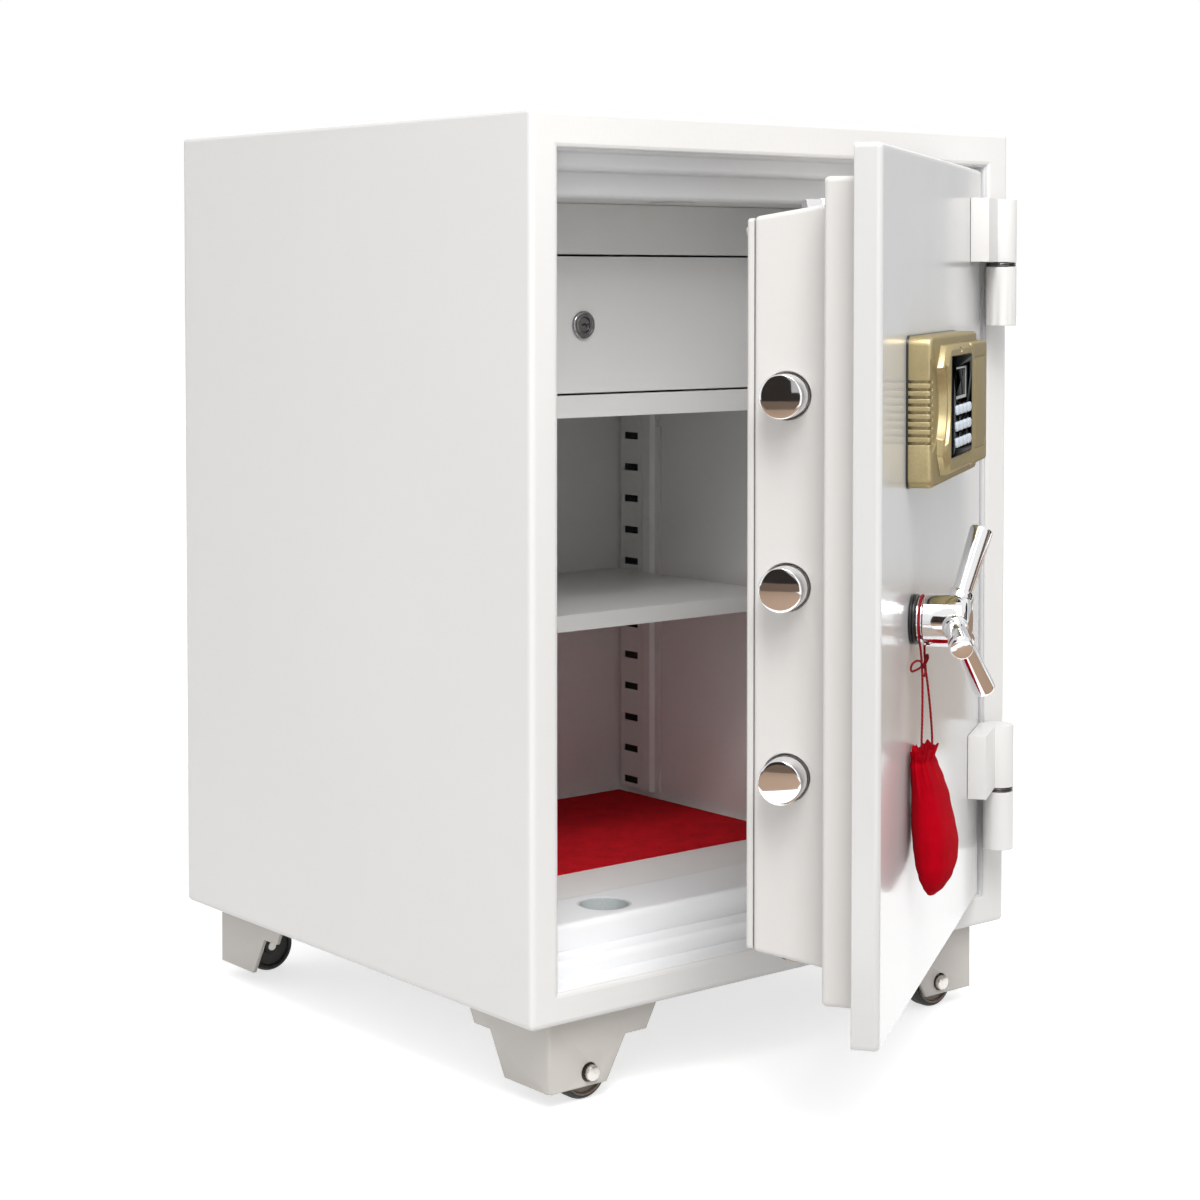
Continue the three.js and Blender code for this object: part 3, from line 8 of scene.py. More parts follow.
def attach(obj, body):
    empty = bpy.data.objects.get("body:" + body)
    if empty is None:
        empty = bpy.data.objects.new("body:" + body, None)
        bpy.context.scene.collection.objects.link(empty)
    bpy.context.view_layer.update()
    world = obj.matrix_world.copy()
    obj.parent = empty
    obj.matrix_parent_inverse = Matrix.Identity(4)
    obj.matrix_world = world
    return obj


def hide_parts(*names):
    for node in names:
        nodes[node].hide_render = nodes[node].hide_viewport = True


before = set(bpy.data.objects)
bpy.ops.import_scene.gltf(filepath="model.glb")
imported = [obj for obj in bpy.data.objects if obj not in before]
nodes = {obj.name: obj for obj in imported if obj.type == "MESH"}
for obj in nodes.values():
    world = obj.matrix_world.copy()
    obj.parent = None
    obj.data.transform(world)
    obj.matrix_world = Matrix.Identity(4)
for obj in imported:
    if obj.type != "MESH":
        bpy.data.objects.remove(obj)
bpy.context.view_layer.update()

# Camera
# The photograph looks at the safe's front left corner from a little above half its height, with
# the picture shifted down so that upright edges stay upright.
FOCAL_PIXELS = 2476.95
PICTURE_PIXELS = 1200
HORIZON_PIXEL = 370.07
CAMERA_AT = (-1.31411, -1.63742, 0.60341)
CAMERA_TILT = 2.07
CAMERA_TURN = -39.01


def in_scene(name, data):
    """An object of the scene for its data."""
    made = bpy.data.objects.new(name, data)
    bpy.context.scene.collection.objects.link(made)
    return made


lens_data = bpy.data.cameras.new("studio_camera")
camera = in_scene("studio_camera", lens_data)
lens_data.sensor_fit = "HORIZONTAL"
lens_data.sensor_width = 36
lens_data.lens = lens_data.sensor_width * FOCAL_PIXELS / PICTURE_PIXELS
lens_data.shift_y = (HORIZON_PIXEL - PICTURE_PIXELS / 2) / PICTURE_PIXELS
camera.location = CAMERA_AT
camera.rotation_euler = (math.radians(90 - CAMERA_TILT), 0, math.radians(CAMERA_TURN))
bpy.context.scene.camera = camera

# Pouch cord
# A limp red cord of twisted thread, 1.6 mm thick. It hangs over the handle's hub and both its ends
# run down into the neck of the key pouch. A small bow is tied on its left side.
CORD_RADIUS = 0.0008
# Pieces are laid out in millimetres from the body's lower front left corner, as if the door were
# shut, and those of the door are then turned open about the hinge pins.
MILLIMETRE = 0.001
BODY_LIFT = 0.066
DOOR_AJAR = 34
DOOR_PLACE = (
    Matrix.Translation((0.224, -0.262, 0))
    @ Matrix.Rotation(math.radians(DOOR_AJAR), 4, "Z")
    @ Matrix.Translation((-0.474, 0.016, BODY_LIFT))
    @ Matrix.Scale(MILLIMETRE, 4)
)
CABINET_PLACE = Matrix.Translation((-0.25, -0.246, BODY_LIFT)) @ Matrix.Scale(MILLIMETRE, 4)
CORD_POINTS = [
    (143, -8.0, 209.5), (143.2, -8.0, 216), (144, -8.2, 232), (144.6, -8.2, 250),
    (144.2, -7.9, 266), (140.4, -7.4, 280.4), (134.0, -7.2, 289.6), (131.0, -7.2, 300),
    (133.3, -7.2, 308.6), (139.5, -7.2, 314.8), (148, -7.2, 317), (156.5, -7.2, 314.8),
    (162.7, -7.2, 308.6), (165.0, -7.2, 300), (162.0, -7.2, 289.6), (155.6, -7.6, 280.4),
    (152.2, -9.0, 266), (152.4, -11.0, 250), (153.6, -12.6, 232), (155, -13.4, 216),
    (155, -13.4, 209.5),
]


def new_material(name, settings=None):
    """A material, its tree of nodes and its shader, with the settings that are the same all over."""
    material = bpy.data.materials.new(name)
    material.use_nodes = True
    shader = material.node_tree.nodes["Principled BSDF"]
    for label, value in (settings or {}).items():
        feed(shader.inputs[label], value)
    return material, material.node_tree, shader


def add(tree, kind, inputs=None, **settings):
    """Adds a node. Each input is a plain value, or the socket that feeds it."""
    node = tree.nodes.new(kind)
    for name, value in settings.items():
        setattr(node, name, value)
    for name, value in (inputs or {}).items():
        feed(node.inputs[name], value)
    return node


def feed(socket, value):
    """Sets a socket to a value, or links another socket into it."""
    if isinstance(value, bpy.types.NodeSocket):
        socket.id_data.links.new(value, socket)
    elif socket.type == "RGBA" and len(value) == 3:
        socket.default_value = (*value, 1)
    else:
        socket.default_value = value


def blend_colours(tree, share, first, second):
    """A colour between two others, by a share from 0 to 1."""
    node = add(tree, "ShaderNodeMix", data_type="RGBA")
    feed(node.inputs["Factor"], share)
    feed(node.inputs[6], first)
    feed(node.inputs[7], second)
    return node.outputs[2]


def scaled(tree, value, low, high, start=0.0, end=1.0):
    """Maps start..end onto low..high."""
    return add(tree, "ShaderNodeMapRange", {
        "Value": value, "From Min": start, "From Max": end, "To Min": low, "To Max": high,
    }).outputs["Result"]


def maths(tree, operation, first, second=None, clamp=False):
    """One step of arithmetic with one or two values."""
    inputs = {0: first} if second is None else {0: first, 1: second}
    return add(tree, "ShaderNodeMath", inputs, operation=operation, use_clamp=clamp).outputs[0]


def object_noise(tree, scale, detail=2.0):
    """Cloudy noise that is fixed to the piece."""
    return add(tree, "ShaderNodeTexNoise", {
        "Vector": add(tree, "ShaderNodeTexCoord").outputs["Object"], "Scale": scale, "Detail": detail,
    }).outputs["Fac"]


def soft_normal(tree, radius):
    """The direction of a surface whose edges look rounded by a radius."""
    return add(tree, "ShaderNodeBevel", {"Radius": radius}, samples=4).outputs["Normal"]


def emboss(tree, shader, height, strength, distance, soften=None):
    """Raises a surface by a height, over edges that look rounded by a radius."""
    inputs = {"Height": height, "Strength": strength, "Distance": distance}
    if soften:
        inputs["Normal"] = soft_normal(tree, soften)
    feed(shader.inputs["Normal"], add(tree, "ShaderNodeBump", inputs).outputs["Normal"])


def new_group(name, inputs, output):
    """A group of shader nodes with float inputs and one output, still empty."""
    group = bpy.data.node_groups.new(name, "ShaderNodeTree")
    for label, value in inputs.items():
        way_in = group.interface.new_socket(label, in_out="INPUT", socket_type="NodeSocketFloat")
        way_in.default_value = value
    group.interface.new_socket(output, in_out="OUTPUT", socket_type="NodeSocketFloat")
    entry = group.nodes.new("NodeGroupInput")
    leave = group.nodes.new("NodeGroupOutput")
    return group, entry.outputs, leave.inputs[output]


def use_group(tree, group, **values):
    """Places a group in a material with its own values, and gives what it puts out."""
    node = add(tree, "ShaderNodeGroup", node_tree=group)
    for label, value in values.items():
        feed(node.inputs[label.replace("_", " ").title()], value)
    return node.outputs[0]


# Fine mottling of a surface in three dimensions, from 0 to 1.
mottle_group, entry, leave = new_group("mottle", {"Scale": 300.0, "Detail": 3.0, "Contrast": 1.0}, "Value")
spread = maths(mottle_group, "SUBTRACT", object_noise(mottle_group, entry["Scale"], entry["Detail"]), 0.5)
stretched = maths(mottle_group, "MULTIPLY", spread, entry["Contrast"])
feed(leave, maths(mottle_group, "ADD", stretched, 0.5, clamp=True))


def mottled(tree, scale, detail, contrast):
    """The mottling of one material."""
    return use_group(tree, mottle_group, scale=scale, detail=detail, contrast=contrast)


# Thread lines that wind round a cord or lie along a weave, read from the piece's own UV map.
twist_group, entry, leave = new_group(
    "thread_twist", {"Turns": 1.0, "Strands": 3.0, "Fuzz": 0.15}, "Height")
unrolled = add(twist_group, "ShaderNodeTexCoord").outputs["UV"]
along = add(twist_group, "ShaderNodeSeparateXYZ", {0: unrolled}).outputs
by_length = maths(twist_group, "MULTIPLY", along["X"], entry["Turns"])
by_girth = maths(twist_group, "MULTIPLY", along["Y"], entry["Strands"])
phase = maths(twist_group, "MULTIPLY", maths(twist_group, "ADD", by_length, by_girth), 2 * math.pi)
fuzz = maths(twist_group, "MULTIPLY", object_noise(twist_group, 4000.0), entry["Fuzz"])
feed(leave, maths(twist_group, "ADD", maths(twist_group, "SINE", phase), fuzz))

cord_thread, tree, thread = new_material("cord_thread", {"Roughness": 0.62, "Specular IOR Level": 0.2})
strands = use_group(tree, twist_group, turns=110.0, strands=2.0, fuzz=0.6)
# The thread is coloured darker down in the grooves of its twist: painted shade.
depth = scaled(tree, strands, 0, 1, -1, 1.4)
feed(thread.inputs["Base Color"], blend_colours(tree, depth, (0.12, 0.001, 0.005), (0.42, 0.004, 0.014)))
emboss(tree, thread, strands, 0.7, 0.0004)


def smooth_line(name, points, radius):
    """A round cord along the points, as a curve of one open spline."""
    line = bpy.data.curves.new(name, "CURVE")
    line.dimensions = "3D"
    line.bevel_depth = radius
    line.bevel_resolution = 5
    line.resolution_u = 8
    line.use_fill_caps = True
    spline = line.splines.new("BEZIER")
    spline.bezier_points.add(len(points) - 1)
    for knot, point in zip(spline.bezier_points, points):
        knot.co = point
        knot.handle_left_type = "AUTO"
        knot.handle_right_type = "AUTO"
    return in_scene(name, line)


def deselect():
    """Leaves nothing selected, because an operator acts on all that is."""
    bpy.ops.object.select_all(action="DESELECT")


def alone(piece):
    """Selects one piece and nothing else."""
    deselect()
    piece.select_set(True)
    bpy.context.view_layer.objects.active = piece


def as_mesh(piece):
    """Turns a curve into a mesh that keeps its form."""
    alone(piece)
    bpy.ops.object.convert(target="MESH")
    return bpy.context.object


def join(name, pieces):
    """Joins separate meshes into one named piece."""
    alone(pieces[0])
    for piece in pieces[1:]:
        piece.select_set(True)
    bpy.ops.object.join()
    bpy.context.object.name = name
    return bpy.context.object


def dress(piece, look):
    """Gives a modelled piece its one material."""
    piece.data.materials.clear()
    piece.data.materials.append(look)


def settle(piece, body, slot, *stands_for, look=None, smooth=35):
    """Gives a finished piece its finish, the body that it rides on and the nodes it stands for."""
    if look:
        dress(piece, look)
    if smooth and piece.type == "MESH":
        alone(piece)
        bpy.ops.object.shade_smooth_by_angle(angle=math.radians(smooth))
    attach(piece, body)
    if stands_for:
        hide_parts(*stands_for)
    return piece


cord_route = [DOOR_PLACE @ Vector(point) for point in CORD_POINTS]
pouch_string = smooth_line("pouch_string", cord_route, CORD_RADIUS)
settle(pouch_string, "pouch_body", "cord", "pouch_cord", look=cord_thread, smooth=None)

BOW_LOOPS = [
    [(144.2, -8.6, 268), (139, -7.4, 272), (131, -4.6, 272.4), (126.5, -3.2, 269.5), (128.5, -3.2, 266.6),
     (134, -4.6, 266.2), (140, -6.8, 267), (144.2, -8.2, 268)],
    [(144.2, -9.2, 268.4), (147.0, -10.4, 270.5), (149.0, -11.2, 273.4), (148.2, -11.0, 275.4),
     (146, -10.2, 273.4), (144.6, -9.4, 270), (144.2, -9.2, 268.4)],
    [(144.2, -9.4, 268), (141.6, -10.6, 264.4), (138.4, -10.4, 261.8)],
]
bow_parts = [
    as_mesh(smooth_line(f"bow_{i}", [DOOR_PLACE @ Vector(p) for p in loop], CORD_RADIUS))
    for i, loop in enumerate(BOW_LOOPS)
]
KNOT_AT = (144.4, -8.9, 268)
deselect()
bpy.ops.mesh.primitive_torus_add(
    major_radius=1.5, minor_radius=1.0, major_segments=24, minor_segments=12, location=KNOT_AT,
)
knot = bpy.context.object
bpy.ops.transform.resize(value=(1, 0.9, 1.25), center_override=KNOT_AT)
bpy.ops.object.transform_apply(location=True, rotation=True, scale=True)
knot.data.transform(DOOR_PLACE)
cord_bow = join("cord_bow", [knot, *bow_parts])
settle(cord_bow, "pouch_body", "cord", look=cord_thread)

# Floor and studio light
# A plain pale floor in a white surround, with three soft lamps in front. Black, brown, tan and grey
# cards outside the view, seen by mirror rays alone, stand for the room that the chrome reflects.
FLOOR_GLOW = 0.66
SURROUND_LIGHT = 0.75


def seen_directly(tree):
    """1 where a camera, mirror or glass ray meets the surface, 0 for light on the object."""
    path = add(tree, "ShaderNodeLightPath").outputs
    seen = maths(tree, "MAXIMUM", path["Is Camera Ray"], path["Is Glossy Ray"])
    return maths(tree, "MAXIMUM", seen, path["Is Transmission Ray"])


deselect()
bpy.ops.mesh.primitive_plane_add(size=60, location=(0, 0, 0))
studio_floor = bpy.context.object
studio_floor.name = "studio_floor"
floor_paper, tree, paper = new_material("floor_paper", {
    "Base Color": (0.62, 0.62, 0.62), "Roughness": 1.0, "Specular IOR Level": 0.0,
    "Emission Color": (1, 1, 1),
})
feed(paper.inputs["Emission Strength"], scaled(tree, seen_directly(tree), 0, FLOOR_GLOW))
dress(studio_floor, floor_paper)

studio_world = bpy.data.worlds.new("studio_world")
bpy.context.scene.world = studio_world
studio_world.use_nodes = True
tree = studio_world.node_tree
surround = tree.nodes["Background"]
feed(surround.inputs["Color"], (1, 1, 1))
feed(surround.inputs["Strength"], scaled(tree, seen_directly(tree), SURROUND_LIGHT, 1))


def soft_lamp(name, place, target, size, power):
    """A square lamp that faces a point of the safe."""
    data = bpy.data.lights.new(name, "AREA")
    data.shape = "SQUARE"
    data.size = size
    data.energy = power
    lamp = in_scene(name, data)
    lamp.location = place
    lamp.rotation_euler = (Vector(target) - Vector(place)).to_track_quat("-Z", "Y").to_euler()


soft_lamp("camera_lamp", (-2.2, -2.3, 1.3), (0, 0, 0.4), 1.6, 4)
soft_lamp("fill_lamp", (-1.05, -2.1, 2.35), (0.0, -0.1, 0.3), 1.2, 30)
soft_lamp("front_lamp", (-0.8, -1.4, 2.95), (0.0, -0.2, 0.2), 1.2, 60)

card_black = new_material("card_black", {"Base Color": (0.022, 0.016, 0.013), "Roughness": 1.0})[0]
card_brown = new_material("card_brown", {"Base Color": (0.16, 0.11, 0.08), "Roughness": 1.0})[0]
card_tan = new_material("card_tan", {"Base Color": (0.31, 0.212, 0.145), "Roughness": 1.0})[0]
card_grey = new_material("card_grey", {
    "Base Color": (0, 0, 0), "Emission Color": (0.56, 0.57, 0.58), "Emission Strength": 1.0,
})[0]
for where, paint, place, target, size in (
    ("left", card_black, (-3.2, -1.7, 1.0), (0, -0.4, 0.45), (2.1, 1.9)),
    ("low_left", card_brown, (-2.9, -1.35, 0.13), (0, -0.4, 0.3), (2.2, 0.25)),
    ("floor_left", card_tan, (-2.05, -1.05, 0.012), (-2.05, -1.05, 1), (2.1, 1.7)),
    ("right", card_black, (2.6, -1.6, 0.9), (0, -0.3, 0.4), (1.5, 2.4)),
    ("above", card_black, (0.3, 0.4, 3.0), (-0.1, -0.2, 0.4), (1.5, 1.1)),
    ("floor_right", card_tan, (2.0, 0.5, 0.012), (2.0, 0.5, 1), (1.6, 1.5)),
    ("beside", card_grey, (2.9, 0.5, 0.55), (0, -0.4, 0.5), (2.0, 1.5)),
    ("low_right", card_brown, (1.65, -2.8, 0.8), (0, -0.3, 0.4), (1.4, 1.7)),
    ("floor_front", card_tan, (0.7, -1.45, 0.012), (0.7, -1.45, 1), (2.6, 1.8)),
    ("far", card_black, (-0.4, 3.4, 1.0), (0, 0, 0.4), (1.6, 1.6)),
):
    deselect()
    bpy.ops.mesh.primitive_plane_add(size=1)
    card = bpy.context.object
    card.name = f"card_{where}"
    turn = (Vector(target) - Vector(place)).to_track_quat("Z", "Y").to_matrix().to_4x4()
    card.data.transform(Matrix.Translation(place) @ turn @ Matrix.Diagonal((*size, 1, 1)))
    dress(card, paint)
    card.visible_camera = False
    card.visible_diffuse = False
    card.visible_shadow = False
    card.visible_transmission = False

bpy.context.scene.view_settings.view_transform = "Standard"

# Cabinet shell and door frame
# Folded sheet steel, sprayed with a warm white powder coat and baked: a fine orange peel all over,
# soft folded edges, and edges rubbed a little paler where hands and doors touch them.

# Where an edge has been rubbed: the rounded normal parts from the flat one near an edge.
rub_group, entry, leave = new_group("rubbed_edge", {"Width": 0.0012, "Break Up": 90.0, "Gain": 6.0}, "Mask")
flat = add(rub_group, "ShaderNodeNewGeometry")
likeness = add(rub_group, "ShaderNodeVectorMath", {
    0: soft_normal(rub_group, entry["Width"]), 1: flat.outputs["True Normal"],
}, operation="DOT_PRODUCT")
parting = maths(rub_group, "SUBTRACT", 1.0, likeness.outputs["Value"])
gained = maths(rub_group, "MULTIPLY", parting, entry["Gain"], clamp=True)
patchy = scaled(rub_group, object_noise(rub_group, entry["Break Up"]), 0, 1, 0.42, 0.62)
feed(leave, maths(rub_group, "MULTIPLY", gained, patchy))

# Dust that has settled on faces that look up.
dust_group, entry, leave = new_group("settled_dust", {"Scale": 40.0, "Amount": 0.2}, "Mask")
facing = add(dust_group, "ShaderNodeNewGeometry").outputs["Normal"]
facing_up = add(dust_group, "ShaderNodeSeparateXYZ", {0: facing}).outputs["Z"]
upward = scaled(dust_group, facing_up, 0, 1, 0.6, 1.0)
lying = maths(dust_group, "MULTIPLY", upward, object_noise(dust_group, entry["Scale"], 5.0))
feed(leave, maths(dust_group, "MULTIPLY", lying, entry["Amount"], clamp=True))


def tint(colour, share, most=1.0):
    """A colour made paler or darker, up to a limit."""
    return tuple(min(part * share, most) for part in colour)


def sprayed(name, colour, roughness, coat=0.0, peel=0.10, soften=0.0008, dust=0.25, coat_roughness=0.04):
    """A sprayed and baked paint in one colour, a real one's small unevenness included."""
    material, tree, paint = new_material(name, {"Coat Weight": coat, "Coat Roughness": coat_roughness})
    cloudy = mottled(tree, 3.5, 2.0, 1.2)
    body = blend_colours(tree, cloudy, tint(colour, 0.975), tint(colour, 1.02, 0.95))
    rubbed = use_group(tree, rub_group, width=0.001, break_up=60.0, gain=2.5)
    worn = blend_colours(tree, scaled(tree, rubbed, 0, 0.35), body, tint(colour, 1.12, 0.93))
    settled = use_group(tree, dust_group, scale=30.0, amount=dust)
    feed(paint.inputs["Base Color"], blend_colours(tree, settled, worn, tint(colour, 0.86)))
    smudges = mottled(tree, 14.0, 4.0, 1.6)
    feed(paint.inputs["Roughness"], scaled(tree, smudges, roughness * 0.88, roughness * 1.14))
    skin = mottled(tree, 420.0, 1.0, 1.5)
    emboss(tree, paint, skin, peel, 0.0004, soften)
    return material


def wear(look, *names):
    """Gives CAD nodes a finished material."""
    for name in names:
        node = nodes[name]
        if not node.material_slots:
            node.data.materials.append(look)
        for place_of in node.material_slots:
            place_of.link = "OBJECT"
            place_of.material = look


powder_white = sprayed("powder_white", (0.71, 0.699, 0.684), 0.42)
# The frame's coat is the shell's powder coat made paler and cooler: painted light, for the light that falls
# on its front.
frame_white_lit = sprayed("frame_white_lit", (0.84, 0.847, 0.855), 0.34, soften=0.0022)
wear(powder_white, "cabinet_shell")
wear(frame_white_lit, "door_frame")

# Inner liner and fire-resistant filling
# The liner is a sprayed box of thin sheet. The filling is a grey mineral cast, seen only through
# the holes of the frame.
inner_grey = sprayed("inner_grey", (0.80, 0.79, 0.775), 0.36, dust=0.3)
wear(inner_grey, "inner_liner")
mineral_cast, tree, cast = new_material("mineral_cast", {"Roughness": 0.95})
grains = mottled(tree, 260.0, 6.0, 2.2)
feed(cast.inputs["Base Color"], blend_colours(tree, grains, (0.055, 0.05, 0.045), (0.13, 0.12, 0.11)))
emboss(tree, cast, grains, 0.6, 0.001)
wear(mineral_cast, "fire_filling", "door_filling")

# Standards and shelf
# Slotted strips of rolled sheet on the side walls, sprayed with the liner, and a tray shelf with
# turned-down lips that hangs in them.
rail_grey = sprayed("rail_grey", (0.78, 0.775, 0.76), 0.32, soften=0.0007)
wear(rail_grey, "standard_rear_left", "standard_rear_right", "standard_front_left", "standard_front_right")
wear(sprayed("shelf_grey", (0.68, 0.675, 0.66), 0.3, dust=0.35), "shelf")

# Locker case and door
# A sprayed steel box that hangs under the liner's ceiling, with a flush door of folded sheet on a
# hinge leaf.
wear(sprayed("locker_grey", (0.88, 0.875, 0.86), 0.36), "locker_case", "locker_door")

# Handle spindle and bolt bar
# Turned and ground steel inside the bolt box, bright but not polished: the spindle that the handle
# turns, and the bar that carries the side bolts.


def machined(name, colour, roughness, lines, streak=(1.0, 1.0, 1.0)):
    """Turned or ground steel, with fine lines across one axis."""
    material, tree, metal = new_material(name, {"Metallic": 1.0})
    spot = add(tree, "ShaderNodeMapping", {
        "Vector": add(tree, "ShaderNodeTexCoord").outputs["Object"], "Scale": streak,
    })
    cuts = add(tree, "ShaderNodeTexNoise", {
        "Vector": spot.outputs["Vector"], "Scale": lines, "Detail": 2.0,
    }).outputs["Fac"]
    feed(metal.inputs["Base Color"], blend_colours(tree, cuts, tint(colour, 0.85), colour))
    feed(metal.inputs["Roughness"], scaled(tree, cuts, roughness * 0.7, roughness * 1.3))
    emboss(tree, metal, cuts, 0.08, 0.0002, 0.0005)
    return material


wear(machined("bright_steel", (0.60, 0.60, 0.60), 0.26, 900.0, (1, 1, 6)), "handle_spindle", "bolt_bar")

# Door plates
# The face is a shallow tray of folded sheet under a glossier coat. Behind it lie the stepped pan
# and the bolt box with its back cover, sprayed plain white.
# Both door paints are the shell's white made darker: painted shade on the pan, box and cover, and on the
# face painted shade for the dim room that its gloss reflects.
wear(sprayed("door_gloss_shaded", (0.59, 0.586, 0.58), 0.2, coat=0.35, peel=0.05, soften=0.0015, dust=0.1,
             coat_roughness=0.1), "door_skin")
wear(sprayed("door_white_shaded", (0.61, 0.592, 0.572), 0.36, soften=0.0015),
     "door_pan", "bolt_box", "bolt_box_cover")

# Bolts
# Turned steel bars, three at the side, one up and one down, with a barely domed face and a small
# rounded edge. All are plated but the lowest, and flat rods carry the two end bolts.
BOLT_R = 15.2
BOLT_LENGTH = 60
BOX_LEFT = 79.4
BOLT_REACH = 22
BOLT_Y = 74.5
ROD_FRONT = 66
ROD_THICK = 3


def plated(name, colour, roughness):
    """Polished plating with faint smears."""
    material, tree, metal = new_material(name, {"Metallic": 1.0})
    smear = mottled(tree, 60.0, 4.0, 1.6)
    feed(metal.inputs["Base Color"], blend_colours(tree, smear, tint(colour, 0.96), colour))
    feed(metal.inputs["Roughness"], scaled(tree, smear, roughness * 0.6, roughness * 1.5))
    feed(metal.inputs["Normal"], soft_normal(tree, 0.0004))
    return material


chrome = plated("chrome", (0.86, 0.86, 0.87), 0.045)
brown_steel = machined("brown_steel", (0.30, 0.25, 0.21), 0.18, 700.0)
UP = (0, 0, 1)
DOWN = (0, 0, -1)
LEFT = (-1, 0, 0)
RIGHT = (1, 0, 0)
FORWARD = (0, -1, 0)
BACK = (0, 1, 0)


def outward(merge=0.0001):
    """Merges the doubles of the open piece, turns its faces outwards and closes it."""
    bpy.ops.mesh.select_all(action="SELECT")
    bpy.ops.mesh.remove_doubles(threshold=merge)
    bpy.ops.mesh.normals_make_consistent(inside=False)
    bpy.ops.object.mode_set(mode="OBJECT")


def pull_round(name, rings, sides=64):
    """A turned piece, pulled up ring by ring from a disc: each ring is (radius, height)."""
    deselect()
    radius, height = rings[0]
    bpy.ops.mesh.primitive_circle_add(vertices=sides, radius=radius, fill_type="NGON", location=(0, 0, 0))
    piece = bpy.context.object
    piece.name = name
    bpy.ops.object.mode_set(mode="EDIT")
    bpy.ops.transform.translate(value=(0, 0, height))
    for next_radius, next_height in rings[1:]:
        bpy.ops.mesh.extrude_region_move(TRANSFORM_OT_translate={"value": (0, 0, next_height - height)})
        if next_radius != radius:
            share = next_radius / radius
            bpy.ops.transform.resize(value=(share, share, 1), center_override=(0, 0, next_height))
        radius, height = next_radius, next_height
    outward()
    return piece


def modified(piece, kind, **settings):
    """Adds a modifier with its settings and applies it."""
    change = piece.modifiers.new(kind.lower(), kind)
    for name, value in settings.items():
        setattr(change, name, value)
    alone(piece)
    bpy.ops.object.modifier_apply(modifier=change.name)
    return piece


def soften_edges(piece, width, steps=3, angle=35):
    """Rounds every edge that is sharper than the angle."""
    return modified(piece, "BEVEL", width=width, segments=steps, limit_method="ANGLE",
                    angle_limit=math.radians(angle), harden_normals=False, use_clamp_overlap=True)


def shape_with(piece, tool, operation="DIFFERENCE"):
    """Cuts a tool out of a piece or welds it on, and clears the tool away."""
    modified(piece, "BOOLEAN", operation=operation, object=tool, solver="EXACT")
    bpy.data.objects.remove(tool, do_unlink=True)
    return piece


def aim(piece, axis, at):
    """Turns a piece made along z to an axis and moves it to a point."""
    turn = Vector(UP).rotation_difference(Vector(axis)).to_matrix().to_4x4()
    piece.data.transform(Matrix.Translation(at) @ turn)
    return piece


def turned(name, rings, axis, at, sides=64):
    """A turned piece that stands along an axis from a point."""
    return aim(pull_round(name, rings, sides), axis, at)


def put(piece, place):
    """Takes a piece from its layout in millimetres to its place in the row frame."""
    piece.data.transform(place)
    return piece


def edit(piece, kind="FACE"):
    """Opens one piece in edit mode with nothing of it selected."""
    alone(piece)
    bpy.ops.object.mode_set(mode="EDIT")
    bpy.ops.mesh.select_mode(type=kind)
    bpy.ops.mesh.select_all(action="DESELECT")
    return bmesh.from_edit_mesh(piece.data)


def box_stock(name, low, high):
    """A block between two corners, to be shaped further."""
    deselect()
    bpy.ops.mesh.primitive_cube_add(size=1, location=[(a + b) / 2 for a, b in zip(low, high)])
    piece = bpy.context.object
    piece.name = name
    piece.scale = [b - a for a, b in zip(low, high)]
    bpy.ops.object.transform_apply(location=True, rotation=True, scale=True)
    return piece


def sheet_outline(name, outline, thickness):
    """A flat sheet of a given outline in x and z, thickened backwards along y."""
    deselect()
    bpy.ops.mesh.primitive_circle_add(vertices=len(outline), radius=10, fill_type="NGON")
    piece = bpy.context.object
    piece.name = name
    for corner, (x, z) in zip(piece.data.vertices, outline):
        corner.co = (x, 0, z)
    edit(piece)
    bpy.ops.mesh.select_all(action="SELECT")
    bpy.ops.mesh.extrude_region_move(TRANSFORM_OT_translate={"value": (0, thickness, 0)})
    outward()
    return piece


def select_faces(piece, wanted):
    """Opens a piece with the faces selected that pass a test."""
    mesh = edit(piece)
    for face in mesh.faces:
        face.select = wanted(face)
    bmesh.update_edit_mesh(piece.data)


def drop_caps(piece):
    """Takes away the discs that closed the first and last rings of a ring-shaped piece."""
    select_faces(piece, lambda face: len(face.verts) > 4)
    bpy.ops.mesh.delete(type="FACE")
    outward(0.001)


def bolt_bar_stock(name):
    """One bolt from its tip: a face that is barely domed, and a small rounded edge."""
    return pull_round(name, [
        (1, 0), (4, 0.06), (7, 0.18), (10, 0.37), (13, 0.62), (14.3, 0.76), (14.9, 0.95), (BOLT_R, 1.4),
        (BOLT_R, 30), (BOLT_R, BOLT_LENGTH - 1), (BOLT_R - 1, BOLT_LENGTH),
    ])


SIDE_BOLTS = (("upper", 459), ("middle", 328), ("lower", 197))
for where, height in SIDE_BOLTS:
    bolt = aim(bolt_bar_stock(f"bolt_{where}"), RIGHT, (BOX_LEFT - BOLT_REACH, BOLT_Y, height))
    settle(put(bolt, DOOR_PLACE), "side_bolts", "chrome", f"side_bolt_{where}", look=chrome)
